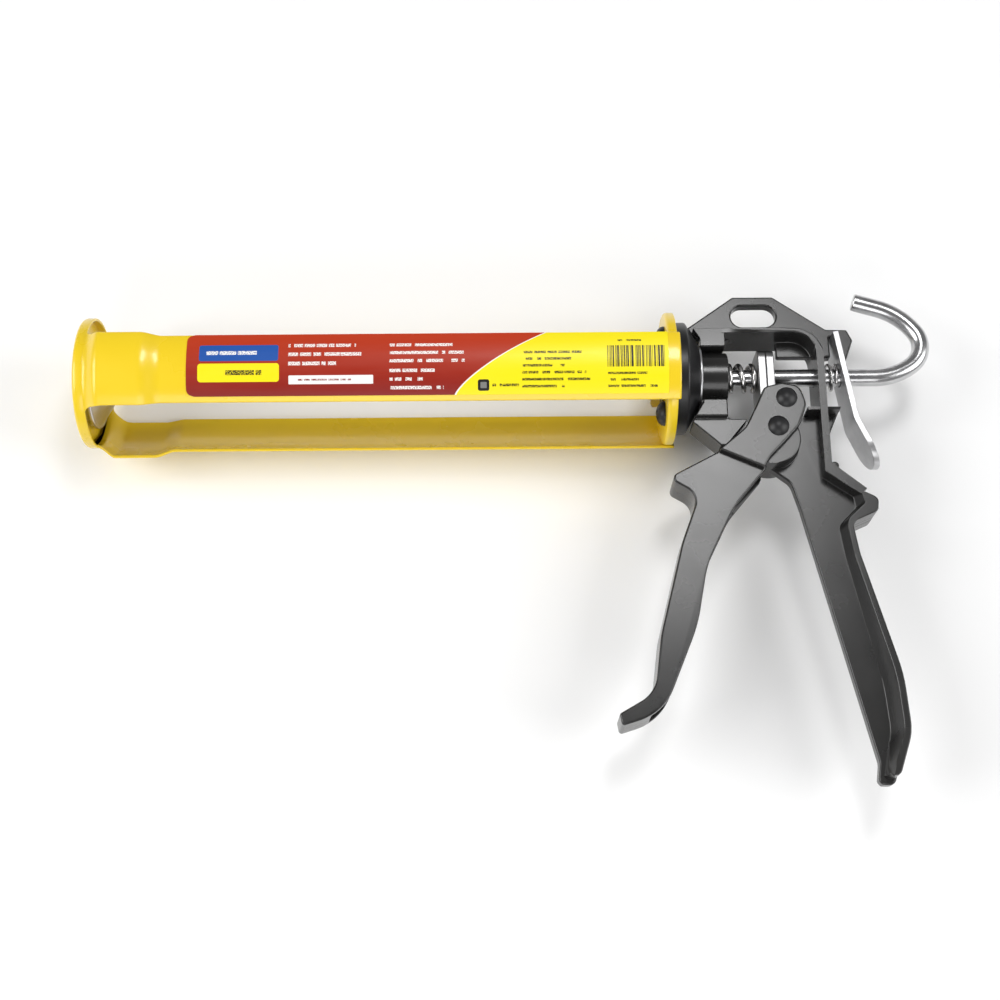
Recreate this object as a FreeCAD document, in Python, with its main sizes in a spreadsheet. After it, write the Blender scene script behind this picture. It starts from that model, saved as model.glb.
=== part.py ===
"""Caulking gun with a turning half-barrel cradle, as a parametric FreeCAD document.

X runs along the push rod, from the nozzle end (-X) to the pull hook (+X).
Y points from the handle to the hanging slot, and Z from side to side.
The origin is on the rod's axis, at the face that the cartridge rests against.
"""
import FreeCAD, Part
import math
import os

from FreeCAD import Placement, Rotation, Vector

# ---------------------------------------------------------------- driving sizes
SIZES = {
    # cradle
    "cradle_len": 234.5,      # clear length from the front cup to the rear pan
    "sheet_wall": 1.2,        # sheet of the cup and arms
    "cup_radius": 26.6,       # outside of the front cup
    "cup_depth": 4.6,         # height of the front cup's rim
    "nozzle_radius": 11.5,    # hole in the front cup
    "pan_radius": 27.1,       # outside of the rear pan
    "pan_wall": 1.4,
    "pan_depth": 4.0,         # height of the rear pan's rim
    "weld_gap": 0.05,         # between the pan's rim and the arms
    "arm_arc": 58.5,          # degrees of the circle that each arm covers
    "arm_spread": 129.5,      # degrees between the two arms
    "arm_overrun": 1.0,       # arms past the pan's rim
    "bulge_height": 2.4,      # outward joggle at the nozzle end
    "bulge_len": 17.5,
    "bulge_ramp": 8.5,
    "bend_round": 1.6,        # outside of the bend of the cup's and the pan's rim
    "cradle_turn": -14.7,     # how far the cradle is turned from upright
    "label_margin": 10.0,     # joggle to the label's front end
    "label_arc": 52.5,
    "label_shift": 2.4,       # degrees towards the arm's open edge
    "label_thick": 0.15,
    "label_gap": 0.02,
    # swivel
    "spigot_radius": 8.0,     # hollow spigot that the cradle turns on
    "swivel_clear": 0.1,
    "collar_rim": 7.4,        # length of the collar before its cone
    "collar_len": 12.8,
    "collar_small": 14.0,     # small end of the cone
    "screw_gap": 1.05,        # nut's corners to the screw heads
    "screw_radius": 2.0,
    "screw_head": 5.0,
    "screw_dome": 3.6,
    "screw_len": 8.0,
    "screw_clear": 0.05,
    "lug_radius": 4.4,
    "lug_len": 8.4,
    "lug_wall": 1.0,          # collar outside the screw lugs
    "ring_thick": 0.9,        # friction ring behind the collar
    "ring_step": 0.6,         # ring inside the collar's small end
    "washer_thick": 0.9,
    "washer_lip": 0.25,       # washer outside the nut's corners
    "nut_thick": 4.2,
    "nut_wall": 1.9,          # nut's flats outside its bore
    "face_gap": 0.1,          # running gap between turning faces
    # rod and piston
    "rod_radius": 3.6,
    "rod_clear": 0.08,
    "stub_past": 0.8,         # threaded end past its front nut
    "stub_radius": 2.75,      # threaded end that carries the piston
    "piston_radius": 18.5,
    "piston_wall": 1.5,
    "piston_dish": 6.0,
    "piston_flange": 1.5,
    "piston_gap": 2.2,        # piston to front cup with the rod fully forward
    "piston_hub": 8.0,
    "piston_clear": 0.06,
    "thread_clear": 0.03,
    "jam_nut_flats": 11.0,
    "jam_nut_thick": 4.0,
    "hook_reach": 22.0,       # window column to where the rod begins to bend
    "hook_big": 26.0,         # the rod's three bends, each with the heading that it ends at
    "hook_big_turn": 38.0,
    "hook_small": 11.0,
    "hook_small_turn": 125.0,
    "hook_top": 28.0,
    "hook_top_turn": 163.0,
    "hook_tail": 10.3,
    # body casting
    "web": 5.0,
    "body_width": 18.6,
    "rim_wall": 2.0,
    "boss_radius": 10.4,
    "spigot_front": 5.6,      # spigot past the pan's face
    "toe_width": 12.8,        # toe under the boss
    "gusset_wall": 3.0,       # corner web inside the window
    "gusset_offset": -2.0,
    "edge_round": 0.8,
    "lobe_radius": 11.0,      # cast lobe that the pivot passes
    "boss_len": 11.0,
    "window_front": 25.0,
    "window_low": -20.2,
    "window_high": 16.5,
    "window_rear": 62.1,
    "column_wall": 2.9,       # wall behind the window that the rod passes
    "flange_width": 19.0,     # palm flange of the handle
    "slot_x": 38.6,           # middle of the hanging slot
    "slot_low": 22.2,
    "slot_len": 18.5,
    "slot_height": 9.6,
    # trigger
    "pivot_x": 44.3,
    "pivot_y": -25.6,
    "pin_behind": 4.0,        # drive pin from the pivot, along X
    "pin_above": 12.2,        # drive pin from the pivot, along Y
    "pin_radius": 3.4,
    "pivot_radius": 3.0,
    "pivot_clear": 0.05,
    "cheek_gap": 0.3,         # body to trigger cheek, each side
    "cheek_wall": 2.5,
    "stud_radius": 2.4,
    "stud_clear": 0.02,
    "ledge_gap": 0.05,        # drive pin's thick middle to the cheeks
    "lever_width": 18.6,
    "lever_wall": 2.7,
    "rivet_head": 4.3,
    "rivet_dome": 2.3,
    # drive
    "plate_thick": 3.2,
    "plate_gap": 0.1,
    "plate_width": 17.6,
    "plate_top": 10.0,
    "plate_low": -17.0,
    "plate_clear": 0.1,
    "drive_wire": 2.1,
    "drive_gap": 0.55,        # rod to the inside of the drive spring
    "drive_turns": 2.6,
    # release
    "catch_thick": 2.3,
    "catch_width": 18.0,
    "catch_tilt": 8.5,        # degrees from square to the rod
    "catch_reach": 8.3,       # window column to where the catch crosses the rod
    "catch_clear": 0.5,
    "catch_play": 0.4,        # catch's top edge under the notch that holds it
    "catch_top": 17.0,
    "catch_drop": 21.0,       # rod's axis down to the catch's bend
    "catch_bend": 14.95,      # degrees that the thumb tab turns away
    "catch_bend_round": 12.0,
    "catch_tail": 21.0,
    "release_wire": 1.1,
    "release_gap": 1.15,      # rod to the inside of the release spring
    "release_turns": 2.4,
    "release_coil_end": 2.0,  # end of the release spring to the catch's middle
}

doc = FreeCAD.newDocument("caulking_gun")
sheet = doc.addObject("Spreadsheet::Sheet", "Sizes")
for row, (alias, value) in enumerate(SIZES.items(), start=1):
    sheet.set(f"A{row}", alias)
    sheet.set(f"B{row}", str(value))
    sheet.setAlias(f"B{row}", alias)
doc.recompute()

PARTS = []


def size(alias):
    """Value of one driving size in the sheet."""
    return float(getattr(sheet, alias))


def bind(target, **sizes):
    """Tie an object's properties to expressions over the sheet's aliases."""
    for name, expression in sizes.items():
        words = expression.split()
        tied = " ".join(f"Sizes.{word}" if word in SIZES else word for word in words)
        target.setExpression(name, tied)


# ---------------------------------------------------------------- modelling helpers
def new_body(label, turn=0.0):
    """PartDesign body for one piece, turned about the rod's axis."""
    body = doc.addObject("PartDesign::Body", label)
    body.Label = label
    body.Placement = Placement(Vector(), Rotation(Vector(1, 0, 0), turn))
    PARTS.append(body)
    return body


def origin_item(body, role):
    """One of the body's own origin planes or axes."""
    return next(item for item in body.Origin.OriginFeatures if item.Role == role)


def new_sketch(body, loops, role="XY_Plane", offset=0.0, turn=0.0):
    """Sketch of closed loops on one of the body's origin planes."""
    sketch = body.newObject("Sketcher::SketchObject", body.Name + "_sketch")
    sketch.AttachmentSupport = [(origin_item(body, role), "")]
    sketch.MapMode = "FlatFace"
    sketch.AttachmentOffset = Placement(Vector(0, 0, offset), Rotation(Vector(1, 0, 0), turn))
    for loop in loops:
        sketch.addGeometry(loop, False)
    return sketch


def outline(corners):
    """Closed loop through (x, y) or (x, y, radius) corners; a radius gives a tangent arc."""
    places = [Vector(corner[0], corner[1], 0) for corner in corners]
    radii = [corner[2] if len(corner) > 2 else 0 for corner in corners]
    starts, ends, arcs = [], [], []
    for here, before, after, radius in zip(places, places[-1:] + places, places[1:] + places[:1], radii):
        start, end, arc = here, here, None
        if radius > 0:
            back = (before - here).normalize()
            ahead = (after - here).normalize()
            half = back.getAngle(ahead) / 2
            start = here + back * (radius / math.tan(half))
            end = here + ahead * (radius / math.tan(half))
            middle = here + (back + ahead).normalize() * (radius / math.sin(half) - radius)
            arc = Part.Arc(start, middle, end)
        starts.append(start)
        ends.append(end)
        arcs.append(arc)
    loop = []
    for arc, end, following in zip(arcs, ends, starts[1:] + starts[:1]):
        if arc:
            loop.append(arc)
        loop.append(Part.LineSegment(end, following))
    return loop


def shifted(corners, dx, dy=0.0):
    """Corners moved as a group."""
    return [(corner[0] + dx, corner[1] + dy, *corner[2:]) for corner in corners]


def circle(x, y, radius):
    """Loop of one circle."""
    return [Part.Circle(Vector(x, y, 0), Vector(0, 0, 1), radius)]


def pad(body, loops, length, role="XY_Plane", offset=0.0, both=True):
    """Pad loops by an expression, to both sides of the sketch or along its normal."""
    feature = body.newObject("PartDesign::Pad", body.Name + "_pad")
    feature.Profile = new_sketch(body, loops, role, offset)
    feature.Midplane = both
    bind(feature, Length=length)
    return feature


def pocket(body, loops, length=None, role="XY_Plane"):
    """Cut loops to both sides of the sketch, by an expression or right through."""
    feature = body.newObject("PartDesign::Pocket", body.Name + "_pocket")
    feature.Profile = new_sketch(body, loops, role)
    feature.Midplane = True
    if length:
        bind(feature, Length=length)
    else:
        feature.Type = "ThroughAll"
    return feature


def turned(body, corners, angle="360", turn=0.0):
    """Revolve a loop of (x, radius) corners about the rod's axis."""
    feature = body.newObject("PartDesign::Revolution", body.Name + "_turned")
    feature.Profile = new_sketch(body, [outline(corners)], turn=turn)
    feature.ReferenceAxis = (origin_item(body, "X_Axis"), [""])
    feature.Midplane = True
    bind(feature, Angle=angle)
    return feature


def round_edges(body, radius, chosen):
    """Fillet the edges of the body's last feature that a test picks."""
    doc.recompute()
    tip = body.Tip
    names = [f"Edge{i}" for i, edge in enumerate(tip.Shape.Edges, start=1) if chosen(edge)]
    feature = body.newObject("PartDesign::Fillet", body.Name + "_fillet")
    feature.Base = (tip, names)
    feature.Radius = radius
    return feature


def edge_in_plane(z):
    """Test for edges that lie wholly in one of the two planes at height z."""
    def test(edge):
        box = edge.BoundBox
        return abs(abs(box.ZMin) - z) < 1e-4 and abs(box.ZMax - box.ZMin) < 1e-4
    return test


def long_edge(z):
    """Test for outline edges in the planes at height z, bores left out."""
    in_plane = edge_in_plane(z)
    return lambda edge: in_plane(edge) and not edge.isClosed()


def around(radius, angles):
    """Places at angles, in degrees, on a circle about the origin."""
    turns = [math.radians(angle) for angle in angles]
    return [(radius * math.cos(turn), radius * math.sin(turn)) for turn in turns]


def hexagon(corner_radius):
    """Loop of a hexagon with its corners on a circle."""
    return outline(around(corner_radius, range(0, 360, 60)))


# ---------------------------------------------------------------- shared places
pan_back = size("pan_wall")
rim_back = size("pan_depth")
cup_face = -size("cradle_len")
cup_front = cup_face - size("sheet_wall")
arm_inner = size("pan_radius") + size("weld_gap")
arm_outer = arm_inner + size("sheet_wall")
half_spread = size("arm_spread") / 2
joggle_end = cup_face + 2 * size("bulge_ramp") + size("bulge_len")
collar_bore = size("spigot_radius") + size("swivel_clear")
nut_corner = (collar_bore + size("nut_wall")) * 2 / math.sqrt(3)
screw_circle = nut_corner + size("screw_gap") + size("screw_head")
collar_radius = screw_circle + size("lug_radius") + size("lug_wall")
collar_back = pan_back + size("collar_len")
washer_front = -size("face_gap") - size("washer_thick")
boss_start = collar_back + size("face_gap") + size("ring_thick")
boss_end = boss_start + size("boss_len")
rod_bore = size("rod_radius") + size("rod_clear")
body_half = size("body_width") / 2
cheek_inner = body_half + size("cheek_gap")
cheek_outer = cheek_inner + size("cheek_wall")
pivot = Vector(size("pivot_x"), size("pivot_y"), 0)
pin = pivot + Vector(size("pin_behind"), size("pin_above"), 0)
jam_nut_corner = size("jam_nut_flats") / math.sqrt(3)
piston_front = cup_face + size("piston_gap")
hub_front = piston_front + size("piston_dish")
hub_back = hub_front + size("piston_wall")
rod_shoulder = hub_back + size("jam_nut_thick")
plate_back = pin.x - size("pin_radius") - size("plate_clear")
plate_front = plate_back - 2 * size("plate_thick") - size("plate_gap")
column_back = size("window_rear") + size("column_wall")
roof = size("window_high") + size("rim_wall")
catch_x = column_back + size("catch_reach")
hook_start = column_back + size("hook_reach")


# ---------------------------------------------------------------- cradle
def make_cradle_frame():
    """Front cup and its two arms, one pressing."""
    body = new_body("cradle_frame", size("cradle_turn"))
    cup_inner = size("cup_radius") - size("sheet_wall")
    cup_back = cup_front + size("cup_depth")
    nozzle = size("nozzle_radius")
    inner_bend = size("bend_round") - size("sheet_wall")
    turned(body, [(cup_front, nozzle), (cup_front, size("cup_radius"), size("bend_round")),
                  (cup_back, size("cup_radius")), (cup_back, cup_inner),
                  (cup_face, cup_inner, inner_bend), (cup_face, nozzle)])
    ramp = size("bulge_ramp")
    crest = arm_inner + size("bulge_height")
    crest_start = cup_face + ramp
    crest_end = crest_start + size("bulge_len")
    root = cup_face + size("bend_round")
    path = [(root, cup_inner), (crest_start, crest), (crest_end, crest),
            (joggle_end, arm_inner), (rim_back + size("arm_overrun"), arm_inner)]
    outside = [(x, radius + size("sheet_wall")) for x, radius in reversed(path)]
    for side in (-1, 1):
        turned(body, path + outside, "arm_arc", turn=180 + side * half_spread)


def make_rear_pan():
    """Disc that the cartridge rests against, with its rim turned back."""
    body = new_body("cradle_rear_pan", size("cradle_turn"))
    outer = size("pan_radius")
    inner = outer - size("pan_wall")
    turned(body, [(0, collar_bore), (0, outer, size("bend_round")), (rim_back, outer),
                  (rim_back, inner), (pan_back, inner), (pan_back, collar_bore)])
    drill_screws(body)


def screw_circles(radius):
    """A circle round each of the three collar screws, in a plane square to the rod."""
    return [circle(x, y, radius) for x, y in around(screw_circle, (180, 60, 300))]


def drill_screws(body):
    """Clearance holes for the collar screws."""
    pocket(body, screw_circles(size("screw_radius") + size("screw_clear")),
           "( screw_len + pan_wall ) * 2", "YZ_Plane")


def make_label():
    """Printed sticker on the arm at +Z."""
    body = new_body("cradle_label", size("cradle_turn"))
    inner = arm_outer + size("label_gap")
    outer = inner + size("label_thick")
    start = joggle_end + size("label_margin")
    turned(body, [(start, inner), (start, outer), (0, outer), (0, inner)], "label_arc",
           turn=180 - half_spread - size("label_shift"))


def make_collar():
    """Cast collar behind the pan, which turns on the spigot."""
    body = new_body("swivel_collar", size("cradle_turn"))
    turned(body, [(pan_back, collar_bore), (pan_back, collar_radius),
                  (pan_back + size("collar_rim"), collar_radius), (collar_back, size("collar_small")),
                  (collar_back, collar_bore)])
    pad(body, screw_circles(size("lug_radius")), "lug_len", "YZ_Plane", pan_back, both=False)
    drill_screws(body)


def make_collar_screws():
    """Three domed screws that hold the pan to the collar."""
    body = new_body("collar_screws", size("cradle_turn"))
    body.AllowCompound = True
    dome = size("screw_dome")
    pad(body, screw_circles(size("screw_head")), "screw_dome", "YZ_Plane", -dome, both=False)
    round_edges(body, 0.9 * dome, lambda edge: edge.BoundBox.XMax < -dome / 2)
    pad(body, screw_circles(size("screw_radius")), "screw_len + pan_wall", "YZ_Plane", both=False)


# ---------------------------------------------------------------- swivel hardware
def make_washers_and_nut():
    """Friction ring behind the collar, and the washer and nut in front of the pan."""
    rings = {"swivel_friction_ring": (collar_back + size("face_gap"), boss_start,
                                      size("collar_small") - size("ring_step")),
             "swivel_washer": (washer_front, -size("face_gap"), nut_corner + size("washer_lip"))}
    for label, (front, back, radius) in rings.items():
        turned(new_body(label), [(front, collar_bore), (front, radius), (back, radius),
                                 (back, collar_bore)])
    pad(new_body("swivel_nut"), [hexagon(nut_corner), circle(0, 0, collar_bore)], "nut_thick",
        "YZ_Plane", washer_front - size("nut_thick"), both=False)


# ---------------------------------------------------------------- body casting
def cone_edge(height):
    """Place along X that clears the collar's cone at a height off the rod's axis."""
    slope = (size("collar_len") - size("collar_rim")) / (collar_radius - size("collar_small"))
    return boss_start - slope * max(abs(height) - size("collar_small"), 0)


def palm_back():
    """Spur and palm side of the handle, from the spur's tip down to the handle's end."""
    return shifted([(17.4, -55.2, 2.6), (16.8, -60.6, 2.2), (6.4, -65.2, 3.5), (8.3, -78.0, 20.0),
                    (21.0, -126.0, 60.0), (22.3, -148.0, 22.0), (15.6, -167.0, 2.8)], column_back)


def finger_side():
    """Top and bottom of the handle's side that faces the trigger."""
    return (column_back - 12.6, -56.5), (column_back + 10.6, -158.6)


def is_free_edge(place):
    """Whether an outline edge of the web stays bare: the bridge, its slot or the finger side."""
    (top_x, top_y), (bottom_x, bottom_y) = finger_side()
    side = top_x + (bottom_x - top_x) * (place.y - top_y) / (bottom_y - top_y)
    bridge = place.y > roof + 2.5 and place.x < column_back + 1.0
    handle = place.y < top_y + 8.5 and place.x < side + 1.0
    return bridge or handle


def make_palm(body):
    """Palm flange: a wide rim that slopes down to the web on both sides."""
    root = [(11.6, -163.5, 0.4), (15.7, -147.0, 20.0), (14.4, -129.0, 60.0), (3.9, -78.0, 20.0),
            (2.2, -65.0, 5.0), (9.8, -57.4, 1.2), (8.6, -50.6, 1.0)]
    crest = [(13.8, -165.0, 0.4), (19.6, -147.0, 20.0), (18.4, -127.0, 60.0), (5.9, -78.0, 20.0),
             (3.9, -64.4, 5.0), (11.8, -57.0, 1.2), (10.4, -52.0, 1.0)]
    sunk = 0.3
    levels = {size("web") / 2 - sunk: root, size("flange_width") / 2: crest}
    for side in (1, -1):
        sketches = [new_sketch(body, [outline(palm_back() + shifted(inner, column_back))],
                               offset=side * level) for level, inner in levels.items()]
        loft = body.newObject("PartDesign::AdditiveLoft", "palm_loft")
        loft.Profile = sketches[0]
        loft.Sections = sketches[1:]
        loft.Ruled = True


def make_web(body):
    """Plate of the casting: outline, window and hanging slot."""
    front = size("window_front")
    rear = size("window_rear")
    high = size("window_high")
    low = size("window_low")
    toe = low - 1.2
    ceiling = size("catch_top") + size("catch_play")
    top = [(cone_edge(roof + 3.1), roof + 3.1, 0.5), (30.3, 35.8, 1.5), (47.0, 35.8, 1.5)]
    behind = [(3.2, 20.8, 2.5), (11.8, 20.6, 1.0), (14.0, 15.8, 1.2), (10.6, 6.6, 1.0),
              (8.9, 6.6, 0.4), (7.5, ceiling, 0.3), (4.3, ceiling, 0.3), (4.3, 8.5, 0.5),
              (0.0, 7.5, 0.5), (0.0, -16.3, 0.5), (5.6, -16.5, 0.4), (1.8, -25.0, 3.0),
              (1.0, -41.2, 1.5)]
    (finger_x, finger_y), (end_x, end_y) = finger_side()
    handle = [(end_x - 1.2, end_y - 8.4, 2.2), (end_x, end_y, 6.0), (finger_x, finger_y, 25.0)]
    under = shifted([(5.2, -20.9, 6.0), (-2.3, -15.0, 3.0), (-11.3, -11.4, 3.0)], pivot.x, pivot.y)
    nose = [(22.2, -31.8, 1.0), (cone_edge(toe), toe, 0.6), (boss_start, -size("collar_small")),
            (boss_start, size("collar_small"))]
    silhouette = top + shifted(behind, column_back) + palm_back() + handle + under + nose
    window = [(front, high, 3.5), (rear, high, 9.0), (rear, low + 3.8, 1.5), (rear - 10.1, low, 4.0),
              (front, low, 6.0)]
    half = size("slot_len") / 2
    bottom = size("slot_low")
    slot_round = size("slot_height") / 2 - 0.01
    slot = [(x, y, slot_round) for x, y in ((-half, 0), (-half, size("slot_height")),
                                            (half, size("slot_height")), (half, 0))]
    slot = shifted(slot, size("slot_x"), bottom)
    pad(body, [outline(silhouette), outline(window), outline(slot)], "web")
    web_edge = edge_in_plane(size("web") / 2)
    round_edges(body, size("edge_round"), lambda edge: web_edge(edge) and is_free_edge(edge.CenterOfMass))


def make_front(body):
    """Boss and spigot, with the blocks and the toe that tie the boss to the window's rim."""
    front = size("window_front")
    low = size("window_low")
    boss = size("boss_radius")
    cone = size("collar_small")
    pad(body, [circle(0, 0, boss)], "boss_len", "YZ_Plane", boss_start, both=False)
    pad(body, [circle(0, 0, size("spigot_radius"))],
        "spigot_front + pan_wall + collar_len + face_gap + ring_thick", "YZ_Plane",
        -size("spigot_front"), both=False)
    pad(body, [outline([(cone_edge(roof), roof), (front, roof), (front, boss), (boss_start, boss),
                        (boss_start, cone)])], "body_width")
    shelf = low + 0.3
    step = 1.4 - cone
    pad(body, [outline([(cone_edge(shelf), shelf), (front, shelf), (front, step), (boss_start, step),
                        (boss_start, -cone)])], "body_width")
    toe = [(cone_edge(low - 1.2), low - 1.2, 0.6), (cone_edge(shelf), shelf), (front, shelf),
           (front + 1.5, low), (front + 8.0, low), (24.2, low - 10.8), (22.2, low - 11.6, 1.0)]
    pad(body, [outline(toe)], "toe_width")


def make_rims(body):
    """Wide rim round the window, down the column and over the spur, with the pivot's lobe."""
    front = size("window_front") - 1.0
    rear = size("window_rear")
    high = size("window_high")
    shelf = size("window_low") + 3.8
    behind = [(0.0, roof, 11.5), (0.0, -40.6, 1.0), (13.0, -51.4), (10.6, -53.6)]
    rim = [(front, roof), *shifted(behind, column_back), (rear, -44.2, 1.5), (rear, high, 9.0),
           (front, high)]
    pad(body, [outline(rim)], "flange_width")
    rib = [(-8.0, shelf), (5.4, shelf - 0.1), (5.0, shelf - 1.2), (-8.0, shelf - 1.2)]
    pad(body, [outline(shifted(rib, column_back))], "body_width")
    pad(body, [circle(pivot.x - 1.8, pivot.y - 3.9, size("lobe_radius"))], "body_width")
    gusset = [(rear - 14.6, high + 0.5), (rear + 0.5, high + 0.5), (rear + 0.5, high - 7.1),
              (rear - 14.6, high - 7.1, 1.0)]
    pad(body, [outline(gusset)], "gusset_wall", offset=size("gusset_offset"))


def make_body_casting():
    """Cast body: front boss and spigot, window, pivot lobe and fixed handle."""
    body = new_body("body_casting")
    make_web(body)
    make_front(body)
    make_rims(body)
    make_palm(body)
    pocket(body, [circle(0, 0, rod_bore)], role="YZ_Plane")
    pocket(body, [circle(pivot.x, pivot.y, size("pivot_radius") + size("pivot_clear"))])


# ---------------------------------------------------------------- trigger
def make_trigger():
    """Squeezed lever: a fork of two cheeks over a channel-shaped grip, placed from the pivot."""
    body = new_body("trigger")
    grip = [(-24.0, -9.6, 2.0), (-44.8, -20.6, 2.4), (-32.7, -27.8, 6.5), (-39.9, -46.4, 60.0),
            (-49.9, -84.4, 40.0), (-52.9, -106.9, 13.0), (-66.7, -114.8, 1.0), (-65.9, -119.6, 1.2),
            (-49.8, -114.6, 22.0), (-35.5, -80.4, 60.0), (-30.7, -56.4, 40.0), (-19.3, -33.4, 30.0),
            (-5.9, -17.6, 0.8), (-5.0, -15.7, 0.5), (-23.3, -7.5, 0.5)]
    cheek = [(-24.0, -9.6, 0.5), (-13.1, -0.4, 8.0), (-8.3, 9.1, 12.0), (-4.8, 17.0, 4.0),
             (2.2, 18.7, 3.0), (9.5, 17.4, 4.5), (11.9, 9.6, 6.0), (8.9, 0.8, 10.0),
             (2.2, -6.6, 12.0), (-3.8, -12.8, 4.0), (-6.5, -17.4, 0.5)]
    fork = [(-34.3, -2.6), (-23.3, -7.5), (-5.0, -15.7), (15.7, -24.4), (25.7, 25.6), (-34.3, 25.6)]
    channel = [(-24.3, -4.4), (-22.9, -10.4, 2.0), (-32.7, -17.8, 3.0), (-28.5, -26.9, 8.0),
               (-36.7, -47.9, 40.0), (-46.5, -84.4, 40.0), (-48.9, -105.4, 8.0), (-56.8, -113.7, 1.0),
               (-48.8, -118.4), (-4.3, -74.4), (15.7, -14.4), (3.7, -4.4)]
    grip, cheek, fork, channel = [outline(shifted(corners, pivot.x, pivot.y))
                                  for corners in (grip, cheek, fork, channel)]
    pad(body, [grip], "lever_width")
    grip_edge = long_edge(size("lever_width") / 2)
    round_edges(body, size("edge_round"),
                lambda edge: grip_edge(edge) and edge.CenterOfMass.y < pivot.y - 18.4)
    pad(body, [cheek], "body_width + 2 * cheek_gap + 2 * cheek_wall")
    pocket(body, [fork], "body_width + 2 * cheek_gap")
    pocket(body, [channel], "lever_width - 2 * lever_wall")
    for place, radius in ((pivot, size("pivot_radius")), (pin, size("stud_radius"))):
        pocket(body, [circle(place.x, place.y, radius + size("stud_clear"))])
    round_edges(body, size("edge_round"), long_edge(cheek_outer))


def make_rivet(label, place, profile):
    """Rivet across the trigger's cheeks, domed at both ends."""
    body = new_body(label)
    body.Placement = Placement(place, Rotation())
    head = size("rivet_head")
    dome = size("rivet_dome")
    top = cheek_outer + dome
    sphere = (head ** 2 + dome ** 2) / (2 * dome)
    lean = math.asin(head / sphere) / 2
    shoulder = Vector(sphere * math.sin(lean), top - sphere * (1 - math.cos(lean)), 0)
    brims = [Vector(head, cheek_outer, 0), Vector(head, -cheek_outer, 0)]
    poles = [Vector(0, top, 0), Vector(0, -top, 0)]
    side = [brims[0], *[Vector(x, z, 0) for x, z in profile], brims[1]]
    loop = [Part.Arc(poles[0], shoulder, brims[0])]
    loop += [Part.LineSegment(a, b) for a, b in zip(side, side[1:])]
    loop += [Part.Arc(brims[1], Vector(shoulder.x, -shoulder.y, 0), poles[1]),
             Part.LineSegment(poles[1], poles[0])]
    feature = body.newObject("PartDesign::Revolution", label + "_turned")
    feature.Profile = new_sketch(body, [loop], "XZ_Plane")
    feature.ReferenceAxis = (origin_item(body, "Z_Axis"), [""])
    feature.Angle = 360


def make_rivets():
    """Pivot rivet, and the drive pin with its thick middle."""
    plain = size("pivot_radius")
    make_rivet("pivot_rivet", pivot, [(plain, cheek_outer), (plain, -cheek_outer)])
    stud = size("stud_radius")
    thick = size("pin_radius")
    ledge = cheek_inner - size("ledge_gap")
    make_rivet("drive_pin", pin, [(stud, cheek_outer), (stud, ledge), (thick, ledge),
                                  (thick, -ledge), (stud, -ledge), (stud, -cheek_outer)])


# ---------------------------------------------------------------- drive
def make_drive_plates():
    """Two gripping plates that the pin pushes forward along the rod."""
    half = size("plate_width") / 2
    shape = [(size("plate_low"), -half, 2.0), (size("plate_top"), -half, 4.5),
             (size("plate_top"), half, 4.5), (size("plate_low"), half, 2.0)]
    second = plate_front + size("plate_thick") + size("plate_gap")
    for label, start in (("drive_plate_front", plate_front), ("drive_plate_rear", second)):
        body = new_body(label)
        hole = circle(0, 0, size("rod_radius") + size("plate_clear"))
        pad(body, [outline(shape), hole], "plate_thick", "YZ_Plane", start, both=False)


def make_spring(label, start, end, gap, wire, turns):
    """Coil spring round the rod between two faces."""
    body = new_body(label)
    coil = size("rod_radius") + gap + wire / 2
    first = start + wire / 2 + size("face_gap")
    height = end - wire / 2 - size("face_gap") - first
    helix = body.newObject("PartDesign::AdditiveHelix", label + "_helix")
    helix.Profile = new_sketch(body, [circle(first, coil, wire / 2)])
    helix.ReferenceAxis = (origin_item(body, "X_Axis"), [""])
    helix.Mode = 0
    helix.Pitch = height / turns
    helix.Height = height


def make_springs():
    """Drive spring in the window, and the release spring behind the column."""
    make_spring("drive_spring", boss_end, plate_front, size("drive_gap"), size("drive_wire"),
                size("drive_turns"))
    rest = catch_x - size("release_coil_end")
    make_spring("release_spring", column_back, rest, size("release_gap"), size("release_wire"),
                size("release_turns"))


# ---------------------------------------------------------------- rod and piston
def across(heading):
    """Unit vector to the left of a heading, in degrees, in the plane of the hook."""
    turn = math.radians(heading)
    return Vector(-math.sin(turn), math.cos(turn), 0)


def make_rod():
    """Push rod with its pull hook, and the threaded end that carries the piston."""
    body = new_body("rod")
    stub_front = hub_front - size("jam_nut_thick") - size("stub_past")
    place = Vector(hook_start, 0, 0)
    path = [Part.LineSegment(Vector(rod_shoulder, 0, 0), place)]
    heading = 0.0
    bends = (("hook_big", "hook_big_turn"), ("hook_small", "hook_small_turn"), ("hook_top", "hook_top_turn"))
    for radius, until in [(size(radius), size(until)) for radius, until in bends]:
        centre = place + across(heading) * radius
        middle = centre - across((heading + until) / 2) * radius
        end = centre - across(until) * radius
        path.append(Part.Arc(place, middle, end))
        place = end
        heading = until
    tail = Vector(math.cos(math.radians(heading)), math.sin(math.radians(heading)), 0)
    path.append(Part.LineSegment(place, place + tail * size("hook_tail")))
    pipe = body.newObject("PartDesign::AdditivePipe", "rod_pipe")
    pipe.Profile = new_sketch(body, [circle(0, 0, size("rod_radius"))], "YZ_Plane", rod_shoulder)
    spine = new_sketch(body, [path])
    pipe.Spine = (spine, [f"Edge{k + 1}" for k in range(len(path))])
    stub = size("stub_radius")
    lead_in = 0.6
    turned(body, [(stub_front, 0), (stub_front, stub - lead_in), (stub_front + lead_in, stub),
                  (rod_shoulder + 1, stub), (rod_shoulder + 1, 0)])


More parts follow.
